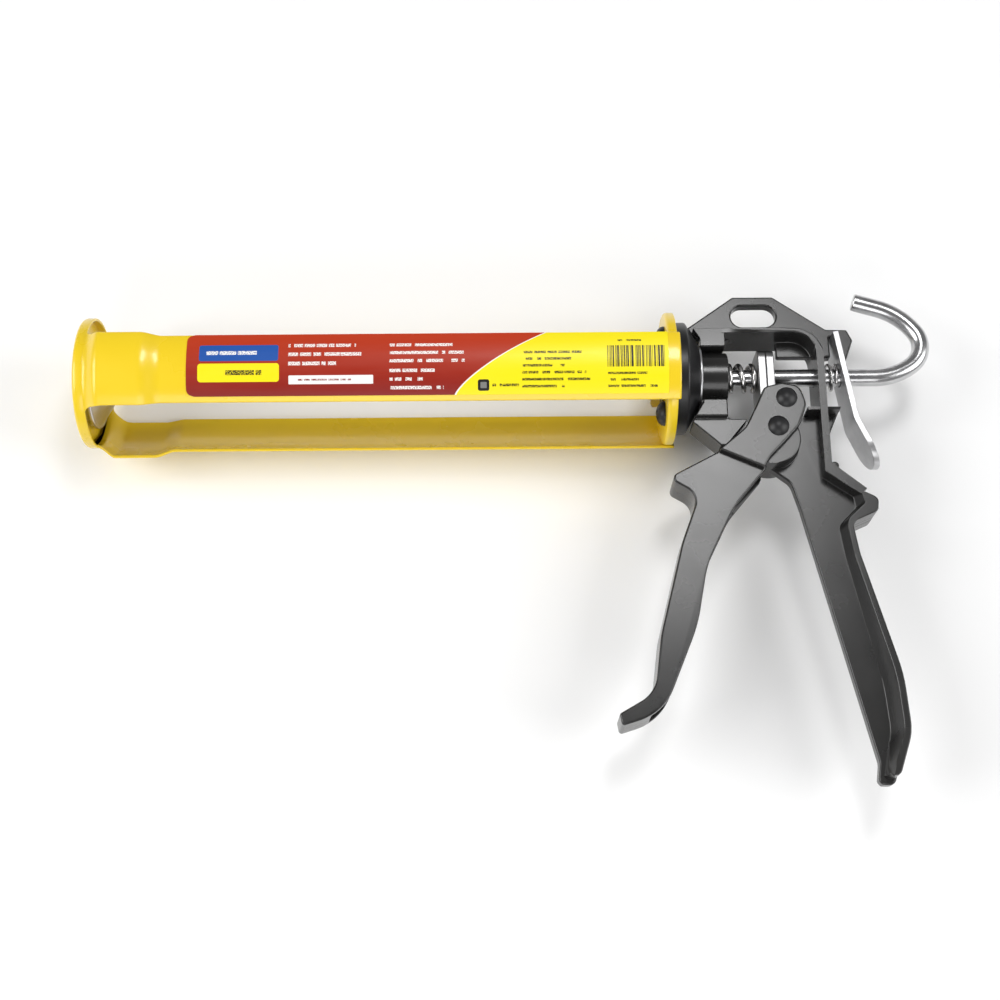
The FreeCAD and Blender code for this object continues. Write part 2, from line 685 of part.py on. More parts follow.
def make_piston():
    """Dished plate that pushes the cartridge's plunger, and its two nuts."""
    bore = size("stub_radius") + size("piston_clear")
    hub = size("piston_hub")
    radius = size("piston_radius")
    wall = size("piston_wall")
    flange = size("piston_flange")
    turned(new_body("piston_plate"),
           [(hub_front, bore), (hub_front, hub), (piston_front, radius - flange),
            (piston_front, radius), (piston_front + wall, radius),
            (piston_front + wall, radius - flange + 0.5), (hub_back, hub + 0.5), (hub_back, bore)])
    starts = {"piston_front_nut": hub_front - size("jam_nut_thick"),
              "piston_rear_nut": hub_back + size("face_gap")}
    thread = circle(0, 0, size("stub_radius") + size("thread_clear"))
    for label, start in starts.items():
        pad(new_body(label), [hexagon(jam_nut_corner), thread], "jam_nut_thick - face_gap",
            "YZ_Plane", start, both=False)


# ---------------------------------------------------------------- release
def make_catch():
    """Tilted locking plate with a bent thumb tab."""
    body = new_body("release_lever")
    tilt = math.radians(size("catch_tilt"))
    bend = tilt + math.radians(size("catch_bend"))
    thick = size("catch_thick")
    along = Vector(math.sin(tilt), -math.cos(tilt), 0)
    beside = Vector(math.cos(tilt), math.sin(tilt), 0) * (thick / 2)
    tail_along = Vector(math.sin(bend), -math.cos(bend), 0)
    tail_beside = Vector(math.cos(bend), math.sin(bend), 0) * (thick / 2)
    centre = Vector(catch_x, 0, 0)
    top = centre - along * (size("catch_top") / math.cos(tilt))
    knee = centre + along * (size("catch_drop") / math.cos(tilt))
    tip = knee + tail_along * size("catch_tail")
    bend_round = size("catch_bend_round")
    side = [(top - beside, 0), (knee - beside, bend_round), (tip - tail_beside, 0),
            (tip + tail_beside, 0), (knee + beside, bend_round + thick), (top + beside, 0)]
    pad(body, [outline([(place.x, place.y, radius) for place, radius in side])], "catch_width")
    # seen along the rod, the tab is rounded below and plain above
    half = size("catch_width") / 2
    foot = tip.y + 0.6
    clear = 2 * size("catch_width")
    kept = [(foot, -half, half - 0.1), (foot, half, half - 0.1), (clear, half), (clear, -half)]
    waste = [(foot - clear, -clear), (1.5 * clear, -clear), (1.5 * clear, clear), (foot - clear, clear)]
    pocket(body, [outline(waste), outline(kept)], role="YZ_Plane")
    pocket(body, [circle(0, 0, size("rod_radius") + size("catch_clear"))], role="YZ_Plane")


# ---------------------------------------------------------------- build
make_cradle_frame()
make_rear_pan()
make_label()
make_collar()
make_collar_screws()
make_washers_and_nut()
make_body_casting()
make_trigger()
make_rivets()
make_drive_plates()
make_springs()
make_rod()
make_piston()
make_catch()
doc.recompute()

failed = [item.Label for item in doc.Objects if {"Invalid", "Error"} & set(item.State)]
failed += [piece.Label for piece in PARTS if piece.Shape.isNull() or not piece.Shape.isValid()]
if failed:
    raise RuntimeError(f"these did not build: {failed}")
os.makedirs("parts", exist_ok=True)
for piece in PARTS:
    piece.Shape.exportStep(f"parts/{piece.Label}.step")
print(f"{len(PARTS)} pieces written to parts/")
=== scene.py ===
"""Looks of a caulking gun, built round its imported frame.

Lengths are metres in the frame's own axes. X runs along the push rod towards the pull hook, Y points
from the handles to the hanging slot, and Z out of the side that carries the label.
"""

import logging
import math
from dataclasses import dataclass
from enum import Enum

import bmesh
import bpy
import numpy as np
from mathutils import Matrix, Vector
from mathutils.bvhtree import BVHTree
from mathutils.kdtree import KDTree


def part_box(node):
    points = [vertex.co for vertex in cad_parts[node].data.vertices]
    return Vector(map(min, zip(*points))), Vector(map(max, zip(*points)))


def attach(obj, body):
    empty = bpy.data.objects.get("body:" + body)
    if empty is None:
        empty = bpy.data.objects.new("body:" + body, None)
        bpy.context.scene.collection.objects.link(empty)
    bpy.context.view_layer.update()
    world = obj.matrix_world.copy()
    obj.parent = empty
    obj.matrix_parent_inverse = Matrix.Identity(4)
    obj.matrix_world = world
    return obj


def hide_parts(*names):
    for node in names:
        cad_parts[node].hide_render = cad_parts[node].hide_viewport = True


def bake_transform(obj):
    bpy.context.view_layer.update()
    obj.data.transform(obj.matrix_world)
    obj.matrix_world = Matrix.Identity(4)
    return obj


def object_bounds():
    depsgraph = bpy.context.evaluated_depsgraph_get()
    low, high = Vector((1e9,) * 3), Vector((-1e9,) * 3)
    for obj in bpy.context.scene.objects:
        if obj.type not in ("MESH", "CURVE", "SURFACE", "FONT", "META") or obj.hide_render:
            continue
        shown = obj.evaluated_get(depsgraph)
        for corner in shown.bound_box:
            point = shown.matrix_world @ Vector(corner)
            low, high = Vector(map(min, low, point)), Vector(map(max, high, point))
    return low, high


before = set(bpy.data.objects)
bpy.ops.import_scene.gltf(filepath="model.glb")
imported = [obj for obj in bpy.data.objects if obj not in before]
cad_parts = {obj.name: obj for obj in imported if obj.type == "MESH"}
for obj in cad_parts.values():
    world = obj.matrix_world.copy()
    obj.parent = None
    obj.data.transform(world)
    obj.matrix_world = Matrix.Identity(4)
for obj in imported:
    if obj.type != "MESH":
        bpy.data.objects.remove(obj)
CAD_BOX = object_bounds()

MM = 0.001
FINE_TURN = 128
ROD_AXIS = Vector((1, 0, 0))
PIN_AXIS = Vector((0, 0, 1))
CENTRE = Vector((0, 0, 0))

# Copies of the CAD: what is welded and made flat before edges are rounded, in millimetres and degrees,
# and what counts as out of the surface, beside a bad point (shares of the width) or folded over.
WELD = 0.002
NEARLY_FLAT = 1.0
OUT_SHARE = 0.6
BESIDE_SHARE = 1.2
FOLD_SIDE = 0.45
TURNED_AWAY = -0.2

LOG = logging.getLogger("caulking_gun")

Colour = tuple[float, float, float]
Span = tuple[float, float]
Box = tuple[float, float, float, float]
Socket = bpy.types.NodeSocket


# ------------------------------------------------------------------ finishes
class Layout(Enum):
    """Where a finish takes its pattern's place from."""

    SOLID = "Object"
    SURFACE = "UV"


class Nodes:
    """Short calls that build one material's node tree."""

    def __init__(self, name: str, layout: Layout = Layout.SOLID) -> None:
        """Start a material whose patterns are laid out in metres.

        Args:
            name: The material's name.
            layout: Whether patterns fill space or follow the surface.
        """
        self.material = bpy.data.materials.new(name)
        self.material.use_nodes = True
        self.tree = self.material.node_tree
        self.shader = self.tree.nodes["Principled BSDF"]
        self.place = self.add("ShaderNodeTexCoord").outputs[layout.value]

    def add(self, kind: str, inputs: dict | None = None, **settings: object) -> bpy.types.Node:
        """Add a node.

        Args:
            kind: The node's type name.
            inputs: Numbers, colours or sockets for its inputs, by name or number.
            **settings: The node's own properties.

        Returns:
            The new node.
        """
        node = self.tree.nodes.new(kind)
        for key, value in settings.items():
            setattr(node, key, value)
        for key, value in (inputs or {}).items():
            self.feed(node.inputs[key], value)
        return node

    def feed(self, socket: Socket, value: object) -> None:
        """Set or link one input socket.

        Args:
            socket: The input.
            value: A socket to link, or a number or colour to set.
        """
        if isinstance(value, bpy.types.NodeSocket):
            self.tree.links.new(value, socket)
        elif isinstance(value, tuple) and socket.type == "RGBA":
            socket.default_value = (*value, 1.0)
        else:
            socket.default_value = value

    def math(self, operation: str, first: object, second: object = 0.0) -> Socket:
        """What an operation makes of one or two values."""
        return self.add("ShaderNodeMath", {0: first, 1: second}, operation=operation).outputs[0]

    def plus(self, first: object, second: object) -> Socket:
        """The sum of two values."""
        return self.math("ADD", first, second)

    def minus(self, first: object, second: object) -> Socket:
        """The first value less the second."""
        return self.math("SUBTRACT", first, second)

    def times(self, first: object, second: object) -> Socket:
        """The product of two values."""
        return self.math("MULTIPLY", first, second)

    def spot(self, x: object, y: object = 0.0, z: object = 0.0) -> Socket:
        """A place put together from three values."""
        return self.add("ShaderNodeCombineXYZ", {0: x, 1: y, 2: z}).outputs[0]

    def share(self, number: int) -> Socket:
        """One of the three values of the pattern's place."""
        return self.add("ShaderNodeSeparateXYZ", {0: self.place}).outputs[number]

    def stretched(self, scale: tuple[float, float, float]) -> Socket:
        """The pattern's place, stretched about the origin."""
        return self.add("ShaderNodeMapping", {"Vector": self.place, "Scale": scale}).outputs[0]

    def noise(self, scale: float, detail: float = 3.0, place: Socket | None = None) -> Socket:
        """Noise of a scale per metre, 0 to 1 about a middle of a half."""
        wave = self.add("ShaderNodeTexNoise", {"Vector": place or self.place, "Scale": scale,
                                               "Detail": detail, "Roughness": 0.55})
        return wave.outputs["Fac"]

    def fit(self, value: Socket, low: float, high: float, start: float = 0.3, end: float = 0.7) -> Socket:
        """Carry a value from start to end over to low to high."""
        return self.add("ShaderNodeMapRange", {"Value": value, "From Min": start, "From Max": end,
                                               "To Min": low, "To Max": high}).outputs["Result"]

    def mix(self, factor: object, first: object, second: object) -> Socket:
        """A colour between two.

        Args:
            factor: 0 for the first colour, 1 for the second.
            first: A colour or socket.
            second: A colour or socket.

        Returns:
            The mixed colour.
        """
        node = self.add("ShaderNodeMix", data_type="RGBA")
        for socket, value in zip((node.inputs[0], node.inputs[6], node.inputs[7]), (factor, first, second)):
            self.feed(socket, value)
        return node.outputs[2]

    def bump(self, height: Socket, depth: float) -> None:
        """Raise the surface by a height of 0 to 1 times a depth in metres."""
        node = self.add("ShaderNodeBump", {"Height": height, "Distance": depth, "Strength": 1.0})
        self.feed(self.shader.inputs["Normal"], node.outputs[0])

    def set(self, **values: object) -> None:
        """Set the shader's inputs, with underscores for spaces."""
        for key, value in values.items():
            self.feed(self.shader.inputs[key.replace("_", " ")], value)


@dataclass(frozen=True)
class Paint:
    """Sprayed paint: an even colour with a faint flow pattern, over a surface of some grain."""

    name: str
    colour: Colour
    shade: Colour
    roughness: tuple[float, float]
    coat: float
    coat_roughness: float
    specular: float
    flow_scale: float
    grain_scale: float
    grain_depth: float

    def build(self) -> bpy.types.Material:
        """Make the material.

        Returns:
            The paint, with flow in its colour and gloss, and grain as bump.
        """
        nodes = Nodes(self.name)
        flow = nodes.noise(self.flow_scale, 4.0)
        grain = nodes.noise(self.grain_scale, 2.0)
        pits = nodes.add("ShaderNodeTexVoronoi", {"Vector": nodes.place, "Scale": self.grain_scale * 0.7,
                                                  "Smoothness": 0.8}, feature="SMOOTH_F1")
        nodes.set(Base_Color=nodes.mix(nodes.fit(flow, 0.0, 1.0), self.shade, self.colour),
                  Roughness=nodes.fit(flow, *self.roughness, 0.2, 0.8),
                  Coat_Weight=self.coat, Coat_Roughness=self.coat_roughness,
                  Specular_IOR_Level=self.specular)
        height = nodes.plus(nodes.times(grain, 0.7), nodes.times(pits.outputs["Distance"], 0.3))
        nodes.bump(height, self.grain_depth)
        return nodes.material


@dataclass(frozen=True)
class Metal:
    """Bright plated or drawn steel, with lines along one direction and a faint cloud."""

    name: str
    colour: Colour
    shade: Colour
    roughness: tuple[float, float]
    lines: tuple[float, float, float]
    line_depth: float
    layout: Layout = Layout.SOLID

    def build(self) -> bpy.types.Material:
        """Make the material.

        Returns:
            The metal, with its lines in gloss and bump and its cloud in colour.
        """
        nodes = Nodes(self.name, self.layout)
        lines = nodes.noise(1.0, 3.0, nodes.stretched(self.lines))
        cloud = nodes.noise(130.0, 4.0)
        wear = nodes.plus(nodes.times(lines, 0.6), nodes.times(cloud, 0.4))
        nodes.set(Base_Color=nodes.mix(nodes.fit(cloud, 0.0, 1.0), self.shade, self.colour),
                  Metallic=1.0, Roughness=nodes.fit(wear, *self.roughness))
        nodes.bump(lines, self.line_depth)
        return nodes.material


YELLOW = Paint("yellow_gloss", (0.85, 0.605, 0.015), (0.82, 0.575, 0.012), (0.24, 0.32), 0.35, 0.12,
               0.5, 26.0, 500.0, 0.0000025)
BLACK = Paint("black_casting", (0.020, 0.0195, 0.019), (0.015, 0.0147, 0.0145), (0.22, 0.30), 0.15, 0.16,
              0.5, 40.0, 900.0, 0.000004)
COLLAR_BLACK = Paint("black_collar", (0.010, 0.010, 0.011), (0.007, 0.007, 0.008), (0.32, 0.44), 0.1,
                     0.22, 0.45, 60.0, 900.0, 0.000005)
BLACK_STEEL = Paint("black_steel", (0.014, 0.014, 0.015), (0.010, 0.010, 0.011), (0.38, 0.50), 0.0, 0.25,
                    0.45, 120.0, 1500.0, 0.000004)
ZINC = Metal("zinc_plate", (0.66, 0.66, 0.665), (0.54, 0.54, 0.55), (0.26, 0.42), (300.0, 300.0, 2600.0),
             0.000005)
SPRING = Metal("spring_wire", (0.74, 0.73, 0.72), (0.60, 0.59, 0.59), (0.18, 0.30),
               (60.0, 2400.0, 1.0), 0.000003, Layout.SURFACE)
BRIGHT = Metal("bright_rod", (0.66, 0.66, 0.665), (0.50, 0.50, 0.51), (0.17, 0.32), (40.0, 1900.0, 1.0),
               0.000005, Layout.SURFACE)
# The drive plates are the same zinc plate, darkened: painted shade of the body's window they sit in.
ZINC_PAINTED_SHADE = Metal("grip_plate_zinc_painted_shade", (0.40, 0.40, 0.40), (0.30, 0.30, 0.305), (0.26, 0.40),
             (300.0, 300.0, 2600.0), 0.000005)
# The piston's zinc is lighter than the other zinc and tinted lavender: painted reflection of the pale
# surroundings over the zinc's own grey.
DISH_PAINTED_REFLECTION = Metal("piston_zinc_painted_reflection", (0.74, 0.74, 0.80), (0.62, 0.62, 0.68), (0.30, 0.46), (900.0, 900.0, 900.0),
             0.000004)


@dataclass(frozen=True)
class LabelPrint:
    """Print on the label: a warm red field, darkened towards its bottom edge by painted shade, that runs
    out in a slanting curve to bright yellow.

    Places are millimetres from the label's front end, and heights are shares of its width from the top.
    """

    name: str = "label_print"
    # The red fades from the top colour to the low one across the label: painted shade. The low red is also
    # the ink of one row of print.
    red_lit_top: Colour = (0.50, 0.042, 0.010)
    red_shaded_and_ink: Colour = (0.225, 0.011, 0.009)
    yellow: Colour = (0.90, 0.76, 0.009)
    blue: Colour = (0.016, 0.085, 0.36)
    white: Colour = (0.86, 0.84, 0.82)
    ink: Colour = (0.012, 0.011, 0.010)
    grey: Colour = (0.20, 0.20, 0.19)
    length: float = 190.0
    width: float = 26.2
    red_end: float = 105.6
    lean: float = 35.7
    lean_curve: float = 1.35
    border: float = 0.7
    border_blur: float = 0.05
    block_blur: float = 0.08
    dash_half: float = 0.19
    shortest_row: float = 0.55
    words: float = 0.42
    stems: Span = (2.6, 1.7)
    bar_pitch: float = 1.9
    row_jump: float = 7.31
    end_jump: float = 3.7

    def block(self, nodes: Nodes, box: Box, corner: float = 0.0) -> Socket:
        """A filled block with round corners, from its distance to the block's edge.

        Args:
            nodes: The tree to build in.
            box: Left and right in millimetres, top and bottom as shares of the width.
            corner: Radius of the corners in millimetres.

        Returns:
            1 inside the block and 0 outside.
        """
        left, right, top, bottom = box
        squares = []
        for place, start, end in ((self.along(nodes), left, right),
                                  (self.down(nodes), top * self.width, bottom * self.width)):
            from_middle = nodes.math("ABSOLUTE", nodes.minus(place, (start + end) / 2))
            beyond = nodes.math("MAXIMUM", nodes.minus(from_middle, (end - start) / 2 - corner), 0.0)
            squares.append(nodes.times(beyond, beyond))
        outside = nodes.math("SQRT", nodes.plus(*squares))
        return nodes.fit(outside, 1.0, 0.0, corner, corner + self.block_blur)

    def along(self, nodes: Nodes) -> Socket:
        """Millimetres from the label's front end."""
        return nodes.times(nodes.share(0), self.length)

    def down(self, nodes: Nodes) -> Socket:
        """Millimetres from the label's top edge."""
        return nodes.times(nodes.share(1), self.width)

    def dashes(self, nodes: Nodes, box: Box, rows: int, seed: float) -> Socket:
        """Rows of dashes of uneven length and strength, which stand for lines of print and spell nothing.

        Args:
            nodes: The tree to build in.
            box: Left and right in millimetres, top and bottom as shares of the width.
            rows: How many rows fill the box.
            seed: Shifts the pattern.

        Returns:
            Up to 1 on a dash and 0 between.
        """
        left, right, top, bottom = box
        pitch = (bottom - top) * self.width / rows
        row = nodes.math("DIVIDE", nodes.minus(self.down(nodes), top * self.width), pitch)
        number = nodes.math("FLOOR", row)
        from_middle = nodes.math("ABSOLUTE", nodes.minus(nodes.math("FRACT", row), 0.5))
        on_row = nodes.math("LESS_THAN", from_middle, self.dash_half)
        words = nodes.spot(nodes.times(self.along(nodes), self.words),
                           nodes.times(number, self.row_jump), seed)
        stems = nodes.spot(nodes.times(self.along(nodes), self.stems[0]),
                           nodes.times(self.down(nodes), self.stems[1]), seed)
        ink = nodes.times(nodes.fit(nodes.noise(1.0, 0.0, words), 0.0, 1.0, 0.37, 0.40),
                          nodes.fit(nodes.noise(1.0, 1.0, stems), 0.25, 1.0, 0.42, 0.50))
        ragged = nodes.noise(1.0, 0.0, nodes.spot(nodes.times(number, self.end_jump), 0.0, seed))
        length = nodes.fit(ragged, left + self.shortest_row * (right - left), right)
        before_end = nodes.math("LESS_THAN", self.along(nodes), length)
        return nodes.times(nodes.times(nodes.times(on_row, ink), before_end), self.block(nodes, box))

    def bars(self, nodes: Nodes, box: Box) -> Socket:
        """Upright bars of uneven width."""
        spot = nodes.spot(nodes.times(self.along(nodes), self.bar_pitch))
        bars = nodes.math("GREATER_THAN", nodes.noise(1.0, 1.0, spot), 0.5)
        return nodes.times(bars, self.block(nodes, box))

    def build(self) -> bpy.types.Material:
        """Make the material.

        Returns:
            The print, in layers of flat inks under a clear film, the red ground darkened towards its bottom
            by painted shade.
        """
        nodes = Nodes(self.name, Layout.SURFACE)
        down = nodes.math("DIVIDE", self.down(nodes), self.width)
        # Painted shade: the red darkens from the label's top edge to its bottom edge.
        red = nodes.mix(nodes.fit(down, 0.0, 1.0, 0.0, 1.0), self.red_lit_top, self.red_shaded_and_ink)
        lean = nodes.times(nodes.math("POWER", nodes.minus(1.0, down), self.lean_curve), self.lean)
        edge = nodes.minus(self.along(nodes), nodes.plus(lean, self.red_end))
        on_red = (
            (self.block(nodes, (5.1, 36.2, 0.20, 0.46), 0.8), self.blue),
            (self.dashes(nodes, (8.0, 33.5, 0.25, 0.41), 1, 3.0), self.white),
            (self.block(nodes, (4.6, 36.6, 0.50, 0.78), 1.2), self.yellow),
            (self.dashes(nodes, (15.0, 34.0, 0.54, 0.74), 1, 9.0), self.ink),
            (self.dashes(nodes, (40.2, 74.5, 0.14, 0.58), 3, 1.0), self.white),
            (self.block(nodes, (40.4, 73.6, 0.69, 0.82), 0.3), self.white),
            (self.dashes(nodes, (44.0, 71.0, 0.72, 0.79), 1, 5.0), self.red_shaded_and_ink),
            (self.dashes(nodes, (80.1, 112.0, 0.15, 0.54), 3, 7.0), self.white),
            (self.dashes(nodes, (80.1, 103.0, 0.56, 0.95), 3, 6.0), self.white),
        )
        for mask, colour in on_red:
            red = nodes.mix(mask, red, colour)
        ground = red
        for start, colour in ((0.0, self.white), (self.border, self.yellow)):
            over_edge = nodes.fit(edge, 0.0, 1.0, start - self.border_blur, start + self.border_blur)
            ground = nodes.mix(over_edge, ground, colour)
        on_yellow = (
            (self.block(nodes, (114.8, 119.2, 0.77, 0.94), 0.8), self.ink),
            (self.block(nodes, (115.8, 118.2, 0.81, 0.90), 0.3), self.grey),
            (self.dashes(nodes, (120.5, 134.0, 0.80, 0.91), 1, 2.0), self.ink),
            (self.dashes(nodes, (132.2, 162.6, 0.30, 0.93), 6, 4.0), self.ink),
            (self.dashes(nodes, (170.0, 182.0, 0.12, 0.20), 1, 8.0), self.ink),
            (self.bars(nodes, (165.5, 188.4, 0.25, 0.59)), self.ink),
            (self.dashes(nodes, (166.0, 187.0, 0.64, 0.93), 3, 6.0), self.ink),
        )
        for mask, colour in on_yellow:
            ground = nodes.mix(mask, ground, colour)
        film = nodes.noise(9.0, 2.0)
        nodes.set(Base_Color=ground, Roughness=nodes.fit(film, 0.30, 0.42), Specular_IOR_Level=0.35)
        nodes.bump(nodes.noise(60.0, 2.0), 0.00001)
        return nodes.material


@dataclass(frozen=True)
class FloorFinish:
    """Pale matt board under the tool."""

    name: str = "pale_floor"
    colour: Colour = (0.93, 0.93, 0.93)
    shade: Colour = (0.91, 0.91, 0.91)

    def build(self) -> bpy.types.Material:
        """Make the material.

        Returns:
            The board, with a faint cloud and grain.
        """
        nodes = Nodes(self.name)
        cloud = nodes.noise(6.0, 3.0)
        nodes.set(Base_Color=nodes.mix(nodes.fit(cloud, 0.0, 1.0), self.shade, self.colour), Roughness=0.85)
        nodes.bump(nodes.noise(900.0, 2.0), 0.00001)
        return nodes.material


_made: dict[str, bpy.types.Material] = {}


def material_of(finish: Paint | Metal | LabelPrint | FloorFinish) -> bpy.types.Material:
    """The finish's material, made once."""
    if finish.name not in _made:
        _made[finish.name] = finish.build()
    return _made[finish.name]


# ------------------------------------------------------------------ surfaces
class Ends(Enum):
    """How a skin over rings of points is closed."""

    POLE = "each end closes on a point"
    JOINED = "the last ring joins the first"


@dataclass
class Skin:
    """Vertices, faces and surface places gathered from several skins."""

    points: list[np.ndarray]
    faces: list[np.ndarray]
    places: list[np.ndarray]

    @classmethod
    def over(cls, *shells: np.ndarray, ends: Ends = Ends.POLE, places: np.ndarray | None = None) -> "Skin":
        """A skin over any number of sets of rings that close alike.

        Args:
            *shells: Sets of rings, each as rings by places by three.
            ends: How each set is closed.
            places: Surface places of each set, or none.

        Returns:
            The skin.
        """
        skin = cls([], [], [])
        for rings in shells:
            skin.add(rings, ends, places)
        return skin

    def add(self, rings: np.ndarray, ends: Ends = Ends.POLE, places: np.ndarray | None = None) -> None:
        """Add a closed skin over rings of points, facing outwards.

        Each four neighbours on two rings make a face. The sign of the volume inside, a third of the sum
        of each triangle's corner dotted with its area vector, says whether the faces must be turned.

        Args:
            rings: Points as rings by places by three, each ring closed on itself.
            ends: How the first and last rings are closed.
            places: Surface places as rings by places by two, or none.
        """
        rows, columns = rings.shape[:2]
        number = np.arange(rows * columns).reshape(rows, columns)
        if ends is Ends.JOINED:
            number = np.vstack([number, number[:1]])
        beside = np.roll(number, -1, axis=1)
        quads = np.stack([number[:-1], beside[:-1], beside[1:], number[1:]], axis=-1).reshape(-1, 4)
        flat = rings.reshape(-1, 3)
        where = np.zeros((rows, columns, 2)) if places is None else places
        where = where.reshape(-1, 2)
        if ends is Ends.POLE:
            flat = np.vstack([flat, rings[0].mean(0), rings[-1].mean(0)])
            where = np.vstack([where, where[:1], where[-1:]])
            first, last = len(flat) - 2, len(flat) - 1
            start = np.stack([number[0], np.full(columns, first), beside[0], beside[0]], axis=-1)
            stop = np.stack([number[-1], beside[-1], np.full(columns, last), np.full(columns, last)],
                            axis=-1)
            quads = np.vstack([quads, start, stop])
        a, b, c, d = (flat[quads[:, k]] for k in range(4))
        inside = np.einsum("ij,ij->", a, np.cross(b, c)) + np.einsum("ij,ij->", a, np.cross(c, d))
        if inside < 0:
            quads = quads[:, ::-1]
        self.faces.append(quads + sum(len(block) for block in self.points))
        self.points.append(flat)
        self.places.append(where)

    def mesh_object(self, name: str, sharp: float = 35.0) -> bpy.types.Object:
        """Make the object.

        Args:
            name: The object's name.
            sharp: Degrees between faces above which an edge stays sharp.

        Returns:
            The object, at the origin, with its places as a UV map.
        """
        points = np.vstack(self.points)
        faces = np.vstack(self.faces)
        places = np.vstack(self.places)
        rows = [list(dict.fromkeys(face)) for face in faces.tolist()]
        mesh = bpy.data.meshes.new(name)
        mesh.from_pydata(points.tolist(), [], [row for row in rows if len(row) > 2])
        layer = mesh.uv_layers.new(name="Surface")
        corners = np.empty(len(mesh.loops), dtype=np.int32)
        mesh.loops.foreach_get("vertex_index", corners)
        layer.data.foreach_set("uv", places[corners].astype(np.float32).ravel())
        merge(mesh)
        return shown(name, mesh, sharp)


def merge(mesh: bpy.types.Mesh, distance: float = 1e-7) -> None:
    """Join vertices that lie together.

    Args:
        mesh: The mesh to change.
        distance: How near they lie, in metres.
    """
    work = bmesh.new()
    work.from_mesh(mesh)
    bmesh.ops.remove_doubles(work, verts=work.verts, dist=distance)
    work.to_mesh(mesh)
    work.free()


def shown(name: str, mesh: bpy.types.Mesh, sharp: float) -> bpy.types.Object:
    """Link a mesh as an object, smooth but for its sharp edges.

    Args:
        name: The object's and the mesh's name.
        mesh: The mesh.
        sharp: Degrees between faces above which an edge stays sharp.

    Returns:
        The object.
    """
    mesh.name = name
    mesh.shade_smooth()
    mesh.set_sharp_from_angle(angle=math.radians(sharp))
    thing = bpy.data.objects.new(name, mesh)
    bpy.context.scene.collection.objects.link(thing)
    return thing


def rounded(corners: list[tuple[float, ...]], steps: int = 6, closed: bool = True) -> np.ndarray:
    """Outline through corners in millimetres, each with a tangent arc of its own radius.

    An arc runs from one side to the other: its points are the centre plus the radius times a direction
    that turns evenly between the two sides' normals.

    Args:
        corners: Two places and, where the corner is round, a radius.
        steps: Points along each arc.
        closed: Whether the last corner leads back to the first.

    Returns:
        Points by two, in metres.
    """
    spots = np.array([corner[:2] for corner in corners], float)
    out = []
    for index, corner in enumerate(corners):
        radius = corner[2] if len(corner) > 2 else 0.0
        ending = not closed and index in (0, len(corners) - 1)
        if radius <= 0 or ending:
            out.append(spots[index][None])
            continue
        back = spots[index - 1] - spots[index]
        ahead = spots[(index + 1) % len(spots)] - spots[index]
        back /= np.linalg.norm(back)
        ahead /= np.linalg.norm(ahead)
        half = math.acos(np.clip(back @ ahead, -1.0, 1.0)) / 2
        centre = spots[index] + (back + ahead) / np.linalg.norm(back + ahead) * radius / math.sin(half)
        start = spots[index] + back * radius / math.tan(half) - centre
        end = spots[index] + ahead * radius / math.tan(half) - centre
        share = np.linspace(0, 1, steps)[:, None]
        turn = math.acos(np.clip(start @ end / radius ** 2, -1.0, 1.0))
        arc = (np.sin((1 - share) * turn) * start + np.sin(share * turn) * end) / math.sin(turn)
        out.append(centre + arc)
    return np.vstack(out) * MM


def turned(profile: np.ndarray, count: int = FINE_TURN, axis: Vector = ROD_AXIS,
           origin: Vector = CENTRE) -> np.ndarray:
    """Rings of a profile turned about an axis.

    A point is the origin plus its place along the axis, plus its radius times a direction that goes
    round the axis with the angle.

    Args:
        profile: Places along the axis and radii, by two, in metres.
        count: Points round each ring.
        axis: Direction of the axis.
        origin: A point on the axis.

    Returns:
        Rings by places by three.
    """
    along = np.array(axis.normalized())
    side = np.array(axis.orthogonal().normalized())
    third = np.cross(along, side)
    angle = np.linspace(0, 2 * math.pi, count, endpoint=False)
    round_about = np.cos(angle)[:, None] * side + np.sin(angle)[:, None] * third
    return np.array(origin) + profile[:, None, :1] * along + profile[:, None, 1:] * round_about[None]


def swept(centre: np.ndarray, radius: np.ndarray, count: int) -> tuple[np.ndarray, np.ndarray]:
    """Rings of a round section carried along a path.

    Each ring stands square to the path: its points are the centre plus the radius times a direction that
    goes round the path's own direction. The first direction is carried on from ring to ring by taking
    away its part along the path.

    Args:
        centre: Points of the path, by three, in metres.
        radius: Radius at each point.
        count: Points round each ring.

    Returns:
        The rings by places by three, and their surface places: metres along and metres round.
    """
    heading = np.gradient(centre, axis=0)
    heading /= np.linalg.norm(heading, axis=1, keepdims=True)
    askew = np.array([0.31, 0.57, 0.76])
    first = np.cross(heading, askew)
    side = np.empty_like(centre)
    side[0] = first[0] / np.linalg.norm(first[0])
    for row in range(1, len(centre)):
        carried = side[row - 1] - heading[row] * (side[row - 1] @ heading[row])
        side[row] = carried / np.linalg.norm(carried)
    third = np.cross(heading, side)
    angle = np.linspace(0, 2 * math.pi, count, endpoint=False)
    ring = np.cos(angle)[None, :, None] * side[:, None] + np.sin(angle)[None, :, None] * third[:, None]
    length = np.concatenate([[0], np.cumsum(np.linalg.norm(np.diff(centre, axis=0), axis=1))])
    places = np.stack([np.repeat(length[:, None], count, 1), radius[:, None] * angle[None]], axis=-1)
    return centre[:, None] + radius[:, None, None] * ring, places


def smooth_step(value: np.ndarray) -> np.ndarray:
    """0 below 0, 1 above 1, and three squares less two cubes between."""
    share = np.clip(value, 0.0, 1.0)
    return share * share * (3 - 2 * share)


